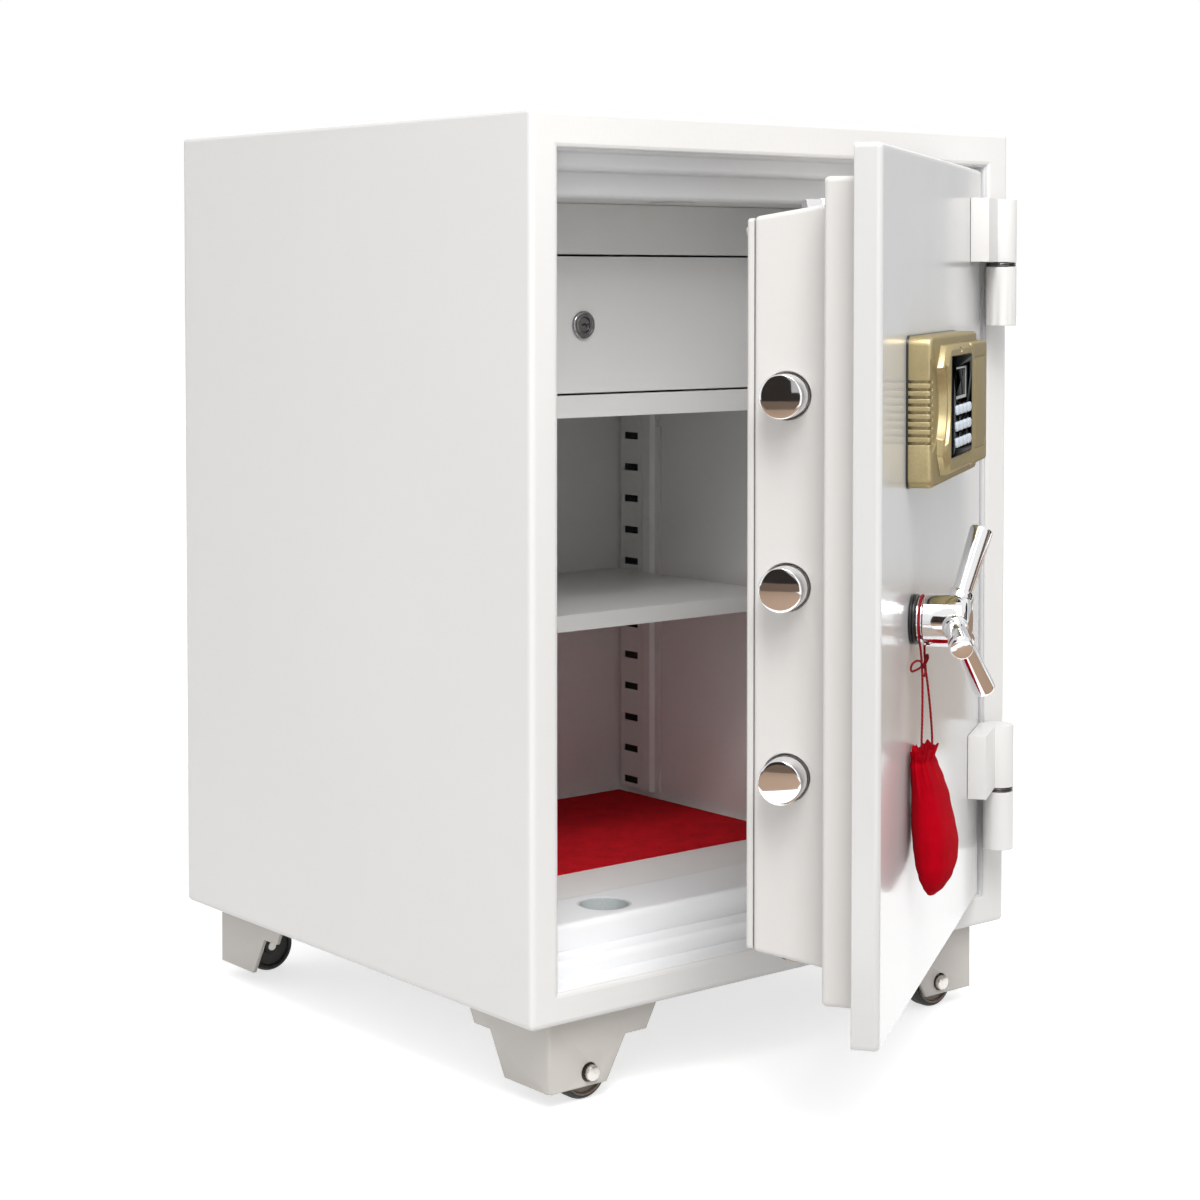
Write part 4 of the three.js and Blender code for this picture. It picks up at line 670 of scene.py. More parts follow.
# Each end bolt has a rod with a slot, in which a pin of the handle's disc moves it.
for where, look, way, x, tip, rod_outline, (left, right, low, high) in (
    ("top", chrome, DOWN, 196, 597, (
        (155.9, 281.6), (177.4, 281.6), (177.4, 417.7), (203, 449.7), (203, 549), (189, 549), (189, 439.7),
        (159.9, 405.7), (159.9, 298.4), (155.9, 298.4),
    ), (160.9, 172.4, 285.6, 294.4)),
    ("bottom", brown_steel, UP, 130, 59, (
        (123, 107), (137, 107), (137, 318.4), (119.6, 318.4), (119.6, 301.6), (123, 301.6),
    ), (123.6, 135.1, 305.6, 314.4)),
):
    bolt = aim(bolt_bar_stock(f"bolt_{where}"), way, (x, BOLT_Y, tip))
    rod = sheet_outline(f"rod_{where}", rod_outline, ROD_THICK)
    rod.data.transform(Matrix.Translation((0, ROD_FRONT, 0)))
    shape_with(rod, box_stock("pin_slot", (left, ROD_FRONT - 6, low), (right, ROD_FRONT + 9, high)))
    shape_with(bolt, rod, "UNION")
    settle(put(bolt, DOOR_PLACE), f"{where}_bolt_body", "chrome", f"{where}_bolt", look=look)

# Bolt sleeves
# Short pale grey sleeves that line the frame's five bolt holes. Each ends a hair below the paint,
# and its inner rim is eased.


def moulded(name, dark, light, roughness, scale=900.0, relief=0.12, settings=None):
    """Moulded plastic or rubber with a fine grain."""
    material, tree, plastic = new_material(name, settings)
    grain = mottled(tree, scale, 2.0, 1.6)
    feed(plastic.inputs["Base Color"], blend_colours(tree, grain, dark, light))
    feed(plastic.inputs["Roughness"], scaled(tree, grain, roughness * 0.85, roughness * 1.15))
    emboss(tree, plastic, grain, relief, 0.0003, 0.0004)
    return material


sleeve_grey = moulded("sleeve_grey", (0.55, 0.60, 0.60), (0.70, 0.75, 0.75), 0.4)
SLEEVE_LENGTH = 22
FRAME_LEFT = 46.8
SLEEVE_PLACES = [(LEFT, (FRAME_LEFT, BOLT_Y, height), 17.5, 16.3) for _, height in SIDE_BOLTS]
SLEEVE_PLACES += [(UP, (196, 77.5, 598.6), 20.1, 19), (DOWN, (130, 77.5, 57.4), 20.1, 19)]
sleeves = []
for axis, at, outer, bore in SLEEVE_PLACES:
    sleeve = pull_round("bolt_sleeve", [
        (bore, 0.3), (bore + 0.3, 0), (outer, 0),
        (outer, SLEEVE_LENGTH), (bore, SLEEVE_LENGTH), (bore, 0.3),
    ])
    drop_caps(sleeve)
    sleeves.append(aim(sleeve, axis, at))
settle(put(join("bolt_sleeves", sleeves), CABINET_PLACE), "cabinet", "steel", look=sleeve_grey)

# Hinges
# A turned knuckle welded to the cabinet and a block welded to the door share one pin, with a
# hardened bearing ring between them.
# The pins and their bearing rings are coloured near black: painted shade, for the shade of the knuckle and
# block around them.
pin_steel_shaded = machined("pin_steel_shaded", (0.16, 0.155, 0.15), 0.2, 700.0)
HINGE_AT = (474, -16)
BARREL_R = 12.6
KNUCKLE_LENGTH = 48
BLOCK_LENGTH = 51
RING_RISE = 48.3
PIN_SUNK = 5
x, y = HINGE_AT
rise = RING_RISE - PIN_SUNK
for where, low in (("upper", 500.5), ("lower", 68)):
    top = low + KNUCKLE_LENGTH
    knuckle = turned(f"knuckle_{where}", [(BARREL_R, 0), (BARREL_R, KNUCKLE_LENGTH)], UP, (x, y, low))
    shape_with(knuckle, box_stock("knuckle_foot", (x + 1.5, y, low), (x + BARREL_R, 0.2, top)), "UNION")
    soften_edges(knuckle, 1.5)
    settle(put(knuckle, CABINET_PLACE), "cabinet", "paint_white", f"hinge_knuckle_{where}",
           look=powder_white)
    pin = turned(f"pin_{where}", [
        (6, 0), (6, rise), (11.4, rise), (12.3, rise + 0.5), (12.3, rise + 1.4), (11.2, rise + 1.65),
        (12.3, rise + 1.9), (12.3, rise + 2.8), (11.6, rise + 3.4), (6, rise + 3.4), (6, rise + 41),
        (5, rise + 42),
    ], UP, (x, y, low + PIN_SUNK))
    settle(put(pin, CABINET_PLACE), "cabinet", "steel", f"hinge_pin_{where}", look=pin_steel_shaded)
    base = low + RING_RISE + 3.7
    top = base + BLOCK_LENGTH
    block = turned(f"block_{where}", [(BARREL_R, 0), (BARREL_R, BLOCK_LENGTH)], UP, (x, y, base))
    shape_with(block, box_stock("block_arm", (x - 62, -15, base), (x + 3, -0.3, top)), "UNION")
    shape_with(block, box_stock("block_root", (x - 3, -17, base), (x + BARREL_R - 1.5, -5, top)), "UNION")
    soften_edges(block, 2.2, 4)
    settle(put(block, DOOR_PLACE), "door", "paint_white", f"hinge_block_{where}", look=powder_white)

# Standards' backs
# Behind their slots the rolled strips are hollow, and that depth lies in shade and looks black. A dark strip
# stands for it: painted shade.
painted_shade_black = moulded("painted_shade_black", (0.006, 0.006, 0.006), (0.014, 0.013, 0.012), 0.9)
for where, x, y in (
    ("rear_left", 88.5, 370), ("rear_right", 410.3, 370),
    ("front_left", 88.5, 185), ("front_right", 410.3, 185),
):
    backing = box_stock(f"slot_back_{where}", (x, y - 1, 66), (x + 1.2, y + 22, 415))
    settle(put(backing, CABINET_PLACE), "cabinet", "paint_inner", look=painted_shade_black)

# Handle
# A die-cast three-armed handle, plated: a stout hub with a soft front edge, and three arms that
# flare to flat ends with rounded edges.
HANDLE_AT = (148, 300)
HUB_BACK = -5.3
ARM_START = -29
ARM_LEAN = math.atan2(16, 68)
FIRST_ARM = 22.4
ARM_RINGS = [
    (6.7, 3), (6.9, 20), (7.4, 42), (8.25, 67.2), (8.15, 68.4), (7.6, 69.3), (6.7, 69.8), (3, 69.9),
]
ARM_ROOT_RINGS = [(9.0, 8), (9.0, 20.2), (8.2, 21.8), (6.6, 22.4)]
x, z = HANDLE_AT
handle_bar = turned("handle_bar", [
    (15.8, 0), (15.8, 3.7), (17.5, 4.1), (18.3, 5.0), (18.3, 27), (18.0, 30.5), (17.2, 33), (15.6, 34.7),
    (13.2, 35.6), (6, 36),
], FORWARD, (x, HUB_BACK, z), 96)
for k in range(3):
    turn = math.radians(FIRST_ARM + 120 * k)
    reach = (math.sin(turn) * math.cos(ARM_LEAN), -math.sin(ARM_LEAN), math.cos(turn) * math.cos(ARM_LEAN))
    for rings in (ARM_RINGS, ARM_ROOT_RINGS):
        shape_with(handle_bar, turned("handle_limb", rings, reach, (x, ARM_START, z), 48), "UNION")
settle(put(handle_bar, DOOR_PLACE), "handle_body", "chrome", "handle", look=chrome)

rose_black = moulded("rose_black", (0.008, 0.008, 0.009), (0.02, 0.02, 0.022), 0.3)
handle_ring = turned("handle_ring", [
    (15, 0), (17.6, 0), (18.0, 0.7), (18.0, 1.7), (16.9, 2.2), (17.9, 2.8), (17.9, 3.6), (17, 4.6),
    (8, 4.7),
], FORWARD, (x, -0.3, z), 96)
settle(put(handle_ring, DOOR_PLACE), "door", "black", "handle_rose", look=rose_black)

# Keypad housing
# One moulding in satin gold lacquer: a deep base whose left side is ribbed for the fingers, and a
# raised panel with cut corners and a hollow for the fingertips.
gold_lacquer, tree, lacquer = new_material("gold_lacquer", {
    "Metallic": 0.55, "Specular IOR Level": 0.15, "Specular Tint": (0.3, 0.25, 0.16),
})
flake = mottled(tree, 2600.0, 1.0, 2.4)
tone = blend_colours(tree, flake, (0.35, 0.285, 0.15), (0.48, 0.40, 0.225))
# Its edges are blended towards a pale gold, broken up in patches: painted highlight along the bevels.
edge = use_group(tree, rub_group, width=0.0009, break_up=160.0, gain=3.0)
feed(lacquer.inputs["Base Color"], blend_colours(tree, scaled(tree, edge, 0, 0.5), tone, (0.72, 0.64, 0.42)))
feed(lacquer.inputs["Roughness"], scaled(tree, flake, 0.27, 0.38))
emboss(tree, lacquer, flake, 0.05, 0.0002, 0.0006)
DARK_GLASS = {"Metallic": 1.0, "Specular Tint": (0.02, 0.02, 0.02)}
panel_black = moulded("panel_black", (0.018, 0.018, 0.02), (0.026, 0.026, 0.028), 0.12, relief=0.02,
                      settings=DARK_GLASS)
PAD_FRONT = -18
PANEL_FRONT = -25.5
PANEL_LOW = 401
PANEL_HIGH = 492
PANEL_SPLIT = 255.7
HOLLOW_Z = 451.75
FIRST_GROOVE = 424.2
GROOVE_WIDTH = 2.2
RIB_PITCH = 5.3
LAMP_AT = (204, -23.4, 488)


def pick_edges(piece, wanted):
    """Selects the edges whose two ends pass a test."""
    mesh = edit(piece, "EDGE")
    for line in mesh.edges:
        line.select = wanted(line.verts[0].co, line.verts[1].co)
    bmesh.update_edit_mesh(piece.data)


def bevel_picked(width, steps):
    """Bevels the picked edges and leaves edit mode."""
    bpy.ops.mesh.bevel(offset=width, segments=steps, profile=0.5, affect="EDGES")
    bpy.ops.object.mode_set(mode="OBJECT")


def runs_along(axis):
    """A test for edges that run along one axis."""
    def test(a, b):
        return all(abs(a[k] - b[k]) < 0.01 for k in range(3) if k != axis)
    return test


def lies_at(axis, value):
    """A test for edges that lie in a plane across one axis."""
    def test(a, b):
        return abs(a[axis] - value) < 0.01 and abs(b[axis] - value) < 0.01
    return test


def tile(name, low, high, corner, edge, steps=4):
    """A flat block that faces forward: its corners rounded, then its front edges."""
    piece = box_stock(name, low, high)
    pick_edges(piece, runs_along(1))
    bevel_picked(corner, steps + 2)
    pick_edges(piece, lies_at(1, low[1]))
    bevel_picked(edge, steps)
    return piece


housing = tile("housing", (120, PAD_FRONT, 394), (330, -0.3, 499), 7, 3)
panel = box_stock("panel", (141, PANEL_FRONT, PANEL_LOW), (PANEL_SPLIT, PAD_FRONT + 1, PANEL_HIGH))
pick_edges(panel, lambda a, b: runs_along(1)(a, b) and a.x < 150)
bevel_picked(15, 1)
pick_edges(panel, lies_at(1, PANEL_FRONT))
bevel_picked(3.4, 1)
shape_with(housing, panel, "UNION")
shape_with(housing, turned("hollow", [
    (30.5, 0), (32.6, 1.2), (34.2, 9.2), (34.2, 13),
], FORWARD, (119, -16.4, HOLLOW_Z), 96))
shape_with(housing, turned("lower_step", [(39.5, 0), (39.5, 12)], FORWARD, (116, -23.2, HOLLOW_Z), 96))
groove_bars = [
    box_stock("groove", (118, -19.6, low), (134, 0.5, low + GROOVE_WIDTH))
    for low in (FIRST_GROOVE + k * RIB_PITCH for k in range(9))
]
grooves = groove_bars[0]
for bar in groove_bars[1:]:
    shape_with(grooves, bar, "UNION")
shape_with(grooves, tile("groove_floor", (123, -15, 396), (330, 1, 497), 5, 1.6))
shape_with(housing, grooves)
shape_with(housing, box_stock("window_room", (157.7, -30, 412.7), (250.3, -22.8, 484.3)))
shape_with(housing, box_stock("key_room", (168, -23, 417.3), (240, -17.8, 451.4)))
shape_with(housing, turned("lamp_hole", [(2.1, 0), (2.1, 4)], FORWARD, LAMP_AT, 24))
soften_edges(housing, 0.35, 2, 40)
settle(put(housing, DOOR_PLACE), "door", "gold", "keypad_housing", look=gold_lacquer)

lamp_lens = turned("lamp_lens", [(1.95, 0), (1.95, 1.0), (1.4, 1.5), (0.4, 1.7)], FORWARD, LAMP_AT, 24)
settle(put(lamp_lens, DOOR_PLACE), "door", "black", look=panel_black)
gasket = tile("gasket", (119.2, -1.5, 393.3), (330.7, -0.15, 499.6), 7.6, 0.3)
settle(put(gasket, DOOR_PLACE), "door", "black", look=rose_black)

# Battery cover
# The right end of the panel, a separate moulding that slides off sideways. A fine groove runs
# round it, with a shallow dimple for the thumb.
cover = tile("battery_lid", (256, PANEL_FRONT, PANEL_LOW), (330, PAD_FRONT - 0.3, PANEL_HIGH), 3.5, 2.4)
ring_groove = tile("ring_groove", (265, -27, 412), (323, -24.9, 481), 9, 0.3)
shape_with(ring_groove, tile("ring_core", (266.1, -28, 413.1), (321.9, -24, 479.9), 8, 0.3))
shape_with(cover, ring_groove)
shape_with(cover, turned("dimple", [(0.8, 0), (1.6, 0.7), (2.4, 1.6)], FORWARD, (292, -26, 436), 24))
soften_edges(cover, 0.3, 2, 40)
settle(put(cover, DOOR_PLACE), "battery_cover_body", "gold", "battery_cover", look=gold_lacquer)

# Window and keys
# A gloss black bezel stands just proud of the panel. Twelve pale blue keys with soft crowned tops
# come through it, each on its own dome.
BEZEL_FRONT = -26.3
window = tile("keypad_bezel", (158, BEZEL_FRONT, 413), (250, BEZEL_FRONT + 3.2, 484), 3, 0.9)
shape_with(window, box_stock("lens_room", (173.9, -30, 452.7), (225.3, -20, 476.3)))
KEY_COLUMNS = (177.75, 195.25, 212.75, 230.25)
KEY_ROWS = (445.8, 434.3, 422.8)
KEY_HALF_WIDTH = 7.3
KEY_HALF_HEIGHT = 3.35
KEY_GAP = 0.45
hole_x = KEY_HALF_WIDTH + KEY_GAP
hole_z = KEY_HALF_HEIGHT + KEY_GAP
for row in KEY_ROWS:
    for column in KEY_COLUMNS:
        shape_with(window, tile("key_hole", (column - hole_x, -30, row - hole_z),
                                (column + hole_x, -20, row + hole_z), 1.6, 0.2, 2))
soften_edges(window, 0.25, 2, 40)
settle(put(window, DOOR_PLACE), "door", "black", "keypad_window", look=panel_black)

lens_rim = tile("lens_rim", (174.2, -25.6, 453), (225, -23.2, 476), 1.2, 0.3)
shape_with(lens_rim, box_stock("lens_sight", (175.6, -27, 455.2), (222.2, -25.0, 474.6)))
soften_edges(lens_rim, 0.15, 2, 40)
rim_grey = moulded("rim_grey", (0.26, 0.28, 0.26), (0.36, 0.38, 0.36), 0.25, relief=0.05)
settle(put(lens_rim, DOOR_PLACE), "door", "black", look=rim_grey)
lens = tile("display_pane", (175.8, -25.3, 455.4), (222, -24.95, 474.4), 0.8, 0.15)
display_glass = moulded("display_glass", (0.030, 0.046, 0.034), (0.04, 0.058, 0.044), 0.07, relief=0.0,
                        settings=DARK_GLASS)
settle(put(lens, DOOR_PLACE), "door", "lens", "display_lens", look=display_glass)


def copy_of(stock, name):
    """A copy of a piece, with a mesh of its own."""
    return in_scene(name, stock.data.copy())


def key_stock(name):
    """One key: rounded corners, a crowned top and a soft rim."""
    piece = box_stock(name, (-KEY_HALF_WIDTH, 0, -KEY_HALF_HEIGHT), (KEY_HALF_WIDTH, 5.2, KEY_HALF_HEIGHT))
    pick_edges(piece, runs_along(1))
    bevel_picked(2.4, 5)
    select_faces(piece, lambda face: face.normal.y < -0.9)
    for inset, lift in ((0.5, 0.45), (0.7, 0.3), (0.9, 0.15)):
        bpy.ops.mesh.inset(thickness=inset, depth=0)
        bpy.ops.transform.translate(value=(0, -lift, 0))
    bpy.ops.object.mode_set(mode="OBJECT")
    return piece


key_blue = moulded("key_blue", (0.50, 0.56, 0.63), (0.62, 0.68, 0.75), 0.32, relief=0.05)
first_key = key_stock("key_stock")
for i in range(12):
    key = copy_of(first_key, f"keycap_{i + 1:02d}")
    key.data.transform(Matrix.Translation((KEY_COLUMNS[i % 4], -27.1, KEY_ROWS[i // 4])))
    settle(put(key, DOOR_PLACE), f"key_body_{i + 1:02d}", "key", f"key_{i + 1:02d}", look=key_blue)
bpy.data.objects.remove(first_key, do_unlink=True)

# Feet
# A corner plate of folded sheet with a stepped notch. A shouldered axle bolt goes through a wide
# hole in it and carries the wheel.
FOOT_STEP = ((0, 0), (0, -54), (54, -54), (72, -22), (92, -22), (104, 0))
AXLE_X = 38
AXLE_Z = -44
AXLE_R = 4
FOOT_LEFT, FOOT_RIGHT = 26, 474
FOOT_FRONT, FOOT_REAR = 13, 479


def foot_stock():
    """One corner foot for the front left, with its corner at the origin."""
    front = sheet_outline("foot_plate", FOOT_STEP, 3)
    side = sheet_outline("foot_side", FOOT_STEP, 3)
    side.data.transform(Matrix(((0, 1, 0, 0), (1, 0, 0, 0), (0, 0, 1, 0), (0, 0, 0, 1))))
    edit(side)
    outward()
    shape_with(front, side, "UNION")
    pick_edges(front, lambda a, b: runs_along(2)(a, b) and abs(a.x) < 0.01 and abs(a.y) < 0.01)
    bevel_picked(2.6, 5)
    shape_with(front, turned("axle_hole", [(7.3, 0), (7.3, 6)], BACK, (AXLE_X - 0.6, -2, AXLE_Z), 40))
    soften_edges(front, 0.6, 2, 30)
    head = turned("axle_head", [
        (4.2, 0), (4.2, 1.6), (5.6, 1.7), (5.9, 2.2), (5.9, 5.4), (5.4, 6.3), (3.8, 6.8), (1.0, 7.0),
    ], FORWARD, (AXLE_X, 1.4, AXLE_Z), 40)
    shank = turned("axle_shank", [
        (AXLE_R, 0), (AXLE_R, 22.4), (AXLE_R - 0.4, 22.9),
    ], BACK, (AXLE_X, 0, AXLE_Z), 32)
    return front, join("foot_fixing", [head, shank])


def wheel_stock():
    """One small wheel at its axle: the tyre, and its paler moulded centre."""
    tyre = pull_round("tyre", [
        (18.9, 1.2), (20.2, 1.2), (21.2, 2.2), (21.8, 3.8), (22, 5.4), (22, 8.2), (21.7, 8.6), (21.7, 9.4),
        (22, 9.8), (22, 12.6), (21.8, 14.2), (21.2, 15.8), (20.2, 16.8), (18.9, 16.8), (18.8, 9),
        (18.9, 1.2),
    ], 72)
    hub = pull_round("hub", [
        (4.3, 0), (6.6, 0), (7.0, 0.5), (7.2, 2.4), (16.6, 2.6), (17.4, 0.6), (18.6, 0.3), (18.75, 0.8),
        (18.75, 17.2), (18.6, 17.7), (17.4, 17.4), (16.6, 15.4), (7.2, 15.6), (7.0, 17.5), (6.6, 18),
        (4.3, 18), (4.3, 0),
    ], 72)
    for part in (tyre, hub):
        drop_caps(part)
        aim(part, BACK, (AXLE_X, 4.6, AXLE_Z))
    return tyre, hub


zinc = machined("zinc", (0.72, 0.70, 0.66), 0.3, 700.0)
tyre_rubber = moulded("tyre_rubber", (0.010, 0.010, 0.010), (0.028, 0.026, 0.024), 0.55, 600.0, 0.3)
wheel_tan = moulded("wheel_tan", (0.12, 0.092, 0.07), (0.20, 0.16, 0.125), 0.45, 500.0, 0.2)
# The feet's paint is the shell's white made darker and browner: painted shade, for the little light that
# reaches them down by the floor.
foot_white_shaded = sprayed("foot_white_shaded", (0.54, 0.51, 0.475), 0.42, dust=0.1)
foot_plate, foot_fixing = foot_stock()
tyre, hub = wheel_stock()
for where, right, rear in (
    ("front_left", 0, 0), ("front_right", 1, 0), ("rear_left", 0, 1), ("rear_right", 1, 1),
):
    corner = Matrix.Translation((FOOT_RIGHT if right else FOOT_LEFT, FOOT_REAR if rear else FOOT_FRONT, 0))
    corner = corner @ Matrix.Diagonal((-1 if right else 1, -1 if rear else 1, 1, 1))
    made = {}
    for kind, stock in (("foot", foot_plate), ("axle", foot_fixing), ("tyre", tyre), ("hub", hub)):
        copy = copy_of(stock, f"{kind}_of_{where}")
        copy.data.transform(corner)
        if right != rear:
            edit(copy)
            bpy.ops.mesh.select_all(action="SELECT")
            bpy.ops.mesh.flip_normals()
            bpy.ops.object.mode_set(mode="OBJECT")
        made[kind] = put(copy, CABINET_PLACE)
    settle(made["foot"], "cabinet", "paint_white", f"foot_{where}", look=foot_white_shaded)
    settle(made["axle"], "cabinet", "steel", look=zinc)
    dress(made["tyre"], tyre_rubber)
    # The rear wheels' centres get the tyre's black in place of the tan: painted shade, for the rear lying in
    # shadow.
    dress(made["hub"], tyre_rubber if rear else wheel_tan)
    wheel = join(f"roller_{where}", [made["tyre"], made["hub"]])
    settle(wheel, f"wheel_body_{where}", "tyre", f"wheel_{where}")
for stock in (foot_plate, foot_fixing, tyre, hub):
    bpy.data.objects.remove(stock, do_unlink=True)

# Locker lock
# A plated cam lock: a stepped ring against the locker door, and a plug with a winding keyway that
# carries the cam behind the door.
LOCK_X = 157.0
LOCK_Y = 138
LOCK_Z = 502.45
lock_plate = plated("lock_plate", (0.40, 0.40, 0.41), 0.07)
ring = turned("locker_lock_ring", [
    (6.4, 0), (10.3, 0), (11.0, 0.5), (11.0, 1.6), (10.4, 2.5), (9.4, 2.9), (8.8, 2.9), (8.4, 2.3),
    (7.2, 2.3), (6.9, 2.7), (6.3, 2.7), (6.3, 0),
], FORWARD, (LOCK_X, LOCK_Y - 0.3, LOCK_Z), 72)
drop_caps(ring)
sleeve = turned("locker_lock_sleeve", [
    (6.3, 0), (9, 0), (9, 13.4), (6.3, 13.4), (6.3, 0),
], BACK, (LOCK_X, LOCK_Y - 0.1, LOCK_Z), 48)
drop_caps(sleeve)
barrel = join("locker_lock_body", [ring, sleeve])
settle(put(barrel, CABINET_PLACE), "locker_door_body", "chrome", "locker_lock_barrel", look=lock_plate)
plug = turned("locker_plug", [
    (6, 0), (6, 15.6), (5.7, 16.1), (5.0, 16.2),
], FORWARD, (LOCK_X, 152.3, LOCK_Z))
# The keyway winds: each cut is (up, across, height, width) from the lock's middle.
for up, across, tall, wide in (
    (0.2, 4.1, 1.3, 2.0), (-0.55, 2.6, 1.5, 1.8), (0.45, 0.9, 1.5, 2.2), (-0.15, -1.0, 1.3, 2.2),
):
    x, z = LOCK_X + across, LOCK_Z + up
    left, right, low, high = x - wide / 2, x + wide / 2, z - tall / 2, z + tall / 2
    shape_with(plug, box_stock("keyway", (left, 130, low), (right, 141, high)))
x, z = LOCK_X, LOCK_Z
cam_leaf = sheet_outline("cam_leaf", (
    (x - 7, z - 8), (x + 7, z - 8), (x + 7, z + 42), (x + 4, z + 45), (x - 4, z + 45), (x - 7, z + 42),
), 2.5)
cam_leaf.data.transform(Matrix.Translation((0, 151.8, 0)))
shape_with(plug, cam_leaf, "UNION")
settle(put(plug, CABINET_PLACE), "locker_lock_body", "chrome", "locker_lock_plug", look=lock_plate)
# A dark sliver stands in the keyway for its unlit depth.
keyway_shade = box_stock("keyway_shade", (x - 2.4, 136.9, z - 1.9), (x + 5.2, 142, z + 1.9))
settle(put(keyway_shade, CABINET_PLACE), "locker_lock_body", "black", look=painted_shade_black)

# Carpet
# Red cut-pile carpet lying loose on the liner's floor, its pile brushed one way in patches and
# falling away at the cut edges.
CARPET_LEFT, CARPET_RIGHT = 92, 407
CARPET_FRONT, CARPET_BACK = 170, 395.5
CARPET_FLOOR = 57.65
BACKING = 1.6
TUFT_STEP = 1.6
EDGE_FALL = 3


def carpet_piece():
    """A thin block of pile, its top broken into tufts."""
    low = Vector((CARPET_LEFT, CARPET_FRONT, CARPET_FLOOR))
    high = Vector((CARPET_RIGHT, CARPET_BACK, CARPET_FLOOR + BACKING))
    piece = box_stock("carpet_pile", low, high)
    select_faces(piece, lambda face: face.normal.z > 0.9)
    bpy.ops.mesh.delete(type="FACE")
    bpy.ops.object.mode_set(mode="OBJECT")
    wide, deep, _ = high - low
    deselect()
    bpy.ops.mesh.primitive_grid_add(
        x_subdivisions=int(wide / TUFT_STEP), y_subdivisions=int(deep / TUFT_STEP), size=1,
    )
    top = bpy.context.object
    middle = ((CARPET_LEFT + CARPET_RIGHT) / 2, (CARPET_FRONT + CARPET_BACK) / 2, CARPET_FLOOR + BACKING)
    top.data.transform(Matrix.Translation(middle) @ Matrix.Diagonal((wide, deep, 1, 1)))
    for point in top.data.vertices:
        place = point.co
        edge = min(place.x - CARPET_LEFT, CARPET_RIGHT - place.x,
                   place.y - CARPET_FRONT, CARPET_BACK - place.y)
        if edge < 0.01:
            continue
        share = min(1, edge / EDGE_FALL)
        tuft = noise.noise(place * 0.8)
        swirl = noise.noise(place * 0.035)
        point.co.z += (0.7 + 0.55 * tuft + 0.35 * swirl) * share
        point.co.x += 0.5 * noise.noise(place * 0.9 + Vector((9, 0, 0))) * share
        point.co.y += 0.5 * noise.noise(place * 0.9 + Vector((0, 9, 0))) * share
    return join("carpet_pile", [top, piece])


pile_red, tree, pile = new_material("pile_red", {
    "Roughness": 0.95, "Specular IOR Level": 0.15,
    "Sheen Weight": 0.08, "Sheen Roughness": 0.5, "Sheen Tint": (0.9, 0.1, 0.12),
})
tufts = mottled(tree, 900.0, 3.0, 2.4)
brushed = mottled(tree, 55.0, 4.0, 3.0)
shade = blend_colours(tree, tufts, (0.26, 0.001, 0.005), (0.68, 0.003, 0.012))
feed(pile.inputs["Base Color"],
     blend_colours(tree, scaled(tree, brushed, 0.0, 0.45), shade, (0.80, 0.006, 0.016)))
emboss(tree, pile, tufts, 0.8, 0.001)
carpet = put(carpet_piece(), CABINET_PLACE)
settle(carpet, "cabinet", "carpet", "carpet", look=pile_red, smooth=80)

# Key pouch
# A small drawstring bag of red velvet, gathered at its mouth, where the cord runs in a hem. Its
# upper back lies against the door, its keys fill it out, and its foot hangs clear.
POUCH_TOP = 210
POUCH_HEIGHT = 102
POUCH_MIDDLE = 148
MOUTH = 0.08
LIP = 0.10
GATHERED = 0.36
# Down the bag from 0 to 1: half width, thickness, sideways shift, distance off the door.
POUCH_FORM = (
    (0.00, 21.5, 16.5, -1.0, 0), (0.03, 21.0, 15.5, -1.0, 0), (0.07, 20.5, 14.5, -1.0, 0),
    (0.12, 22.0, 16.5, -0.8, 0), (0.22, 25.0, 20.5, 0.0, 0), (0.36, 28.0, 25.0, 1.0, 0),
    (0.52, 30.5, 28.5, 2.0, 0), (0.66, 32.0, 30.0, 2.4, 0.4), (0.78, 31.0, 28.5, 1.8, 2.0),
    (0.87, 27.0, 23.0, 0.2, 5.0), (0.94, 20.0, 15.0, -2.0, 8.6), (0.985, 12.0, 7.0, -3.5, 11.4),
    (1.00, 6.0, 2.6, -4.0, 12.8),
)
POUCH_SIDES = 112
POUCH_RINGS = 84


def pouch_form(down):
    """Half width, thickness, shift and distance off the door at a share of the height from the top."""
    for (a, *first), (b, *second) in zip(POUCH_FORM, POUCH_FORM[1:]):
        if down <= b:
            share = (down - a) / (b - a)
            share = share * share * (3 - 2 * share) * 0.5 + share * 0.5
            return [p + (q - p) * share for p, q in zip(first, second)]
    return list(POUCH_FORM[-1][1:])


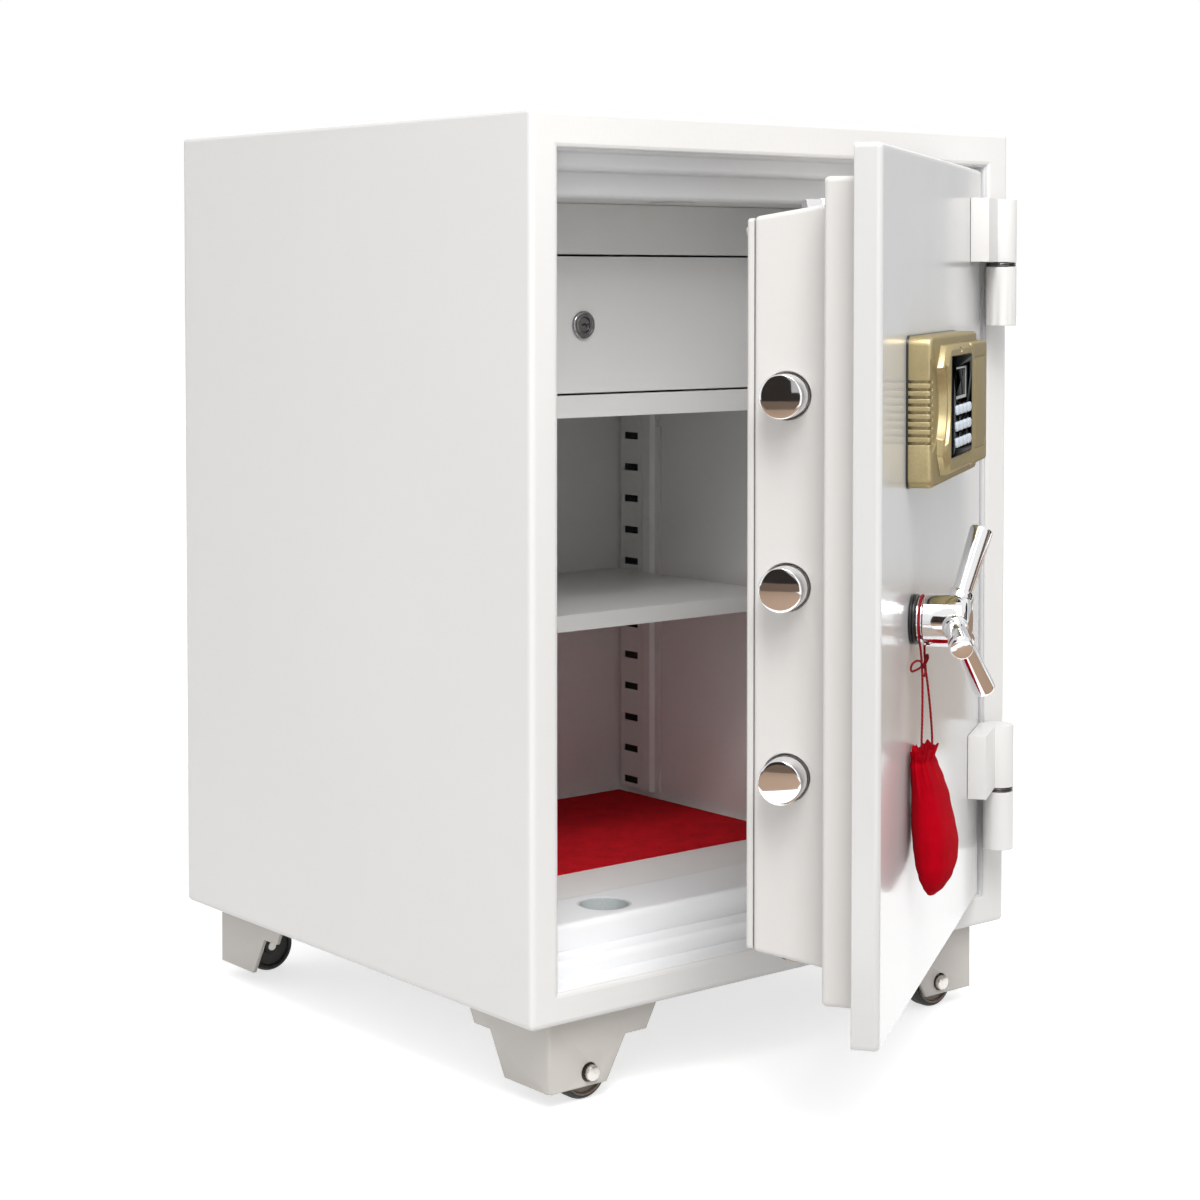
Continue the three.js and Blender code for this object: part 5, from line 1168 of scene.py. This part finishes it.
def pouch_point(turn, down):
    """A point of the bag's cloth: its plain form, with gathers, creases and slack added."""
    wide, thick, shift, off = pouch_form(down)
    gather = max(0.0, 1 - down / GATHERED) ** 1.4
    ripple = 0.055 * math.sin(13 * turn + 1.1 + 2.4 * down) + 0.035 * math.sin(21 * turn + 4.0)
    ripple += 0.03 * math.sin(7 * turn + 2.0)
    hem = 0.055 * math.exp(-((down - 0.065) / 0.02) ** 2)
    crease = sum(
        depth * math.exp(-(((turn - at + math.pi) % (2 * math.pi) - math.pi) / width) ** 2)
        for at, width, depth in (
            (4.35, 0.10, -0.03), (4.95, 0.09, -0.035), (5.55, 0.14, 0.02), (3.75, 0.2, 0.018),
        )
    ) * math.sin(math.pi * min(1, max(0, (down - 0.05) / 0.9)))
    slack = 0.05 * noise.noise(Vector((math.cos(turn) * 1.3, math.sin(turn) * 1.3, down * 4.5)))
    swell = 1 + ripple * (0.05 + 1.1 * gather) - hem + crease + slack
    c, s = math.cos(turn), math.sin(turn)
    x = POUCH_MIDDLE + shift + wide * swell * math.copysign(abs(c) ** 0.9, c)
    y = -1.2 - off - thick / 2 + thick / 2 * swell * math.copysign(abs(s) ** 0.85, s)
    lip = 1.7 * math.sin(5 * turn + 0.7) + 1.0 * math.sin(13 * turn) if down < LIP else 0
    z = POUCH_TOP - POUCH_HEIGHT * down + lip * max(0, 1 - down / LIP)
    return Vector((x, min(y, -1.0 - 0.8 * off), z))


def pouch_cloth():
    """The bag as a grid of cloth rolled up into rings, its mouth turned in and its bottom sewn."""
    deselect()
    bpy.ops.mesh.primitive_grid_add(x_subdivisions=POUCH_SIDES, y_subdivisions=POUCH_RINGS, size=1)
    piece = bpy.context.object
    piece.name = "velvet_pouch"
    for point in piece.data.vertices:
        turn = (point.co.x + 0.5) * 2 * math.pi
        down = 0.5 - point.co.y
        if down < MOUTH:
            inward = 1 - down / MOUTH
            spot = pouch_point(turn, 0.02 + 0.05 * inward)
            middle = Vector((POUCH_MIDDLE - 1, -9.5, spot.z))
            point.co = spot.lerp(middle, 0.10 + 0.82 * inward ** 0.8)
        else:
            point.co = pouch_point(turn, (down - MOUTH) / (1 - MOUTH))
    edit(piece)
    bpy.ops.mesh.select_all(action="SELECT")
    bpy.ops.mesh.remove_doubles(threshold=0.02)
    bpy.ops.mesh.select_all(action="DESELECT")
    bpy.ops.mesh.select_mode(type="EDGE")
    bpy.ops.mesh.select_non_manifold()
    bpy.ops.mesh.fill_holes(sides=0)
    outward()
    return piece


velvet_red, tree, velvet = new_material("velvet_red", {
    "Roughness": 0.9, "Specular IOR Level": 0.03,
    "Sheen Weight": 0.04, "Sheen Roughness": 0.35, "Sheen Tint": (1.0, 0.25, 0.25),
})
nap = mottled(tree, 3200.0, 2.0, 1.8)
brushing = mottled(tree, 70.0, 3.0, 1.8)
ground = blend_colours(tree, nap, (0.24, 0.0005, 0.004), (0.45, 0.001, 0.009))
feed(velvet.inputs["Base Color"],
     blend_colours(tree, scaled(tree, brushing, 0, 0.5), ground, (0.50, 0.001, 0.011)))
emboss(tree, velvet, nap, 0.5, 0.0006)
pouch = put(pouch_cloth(), DOOR_PLACE)
settle(pouch, "pouch_body", "velvet", "key_pouch", look=velvet_red, smooth=80)
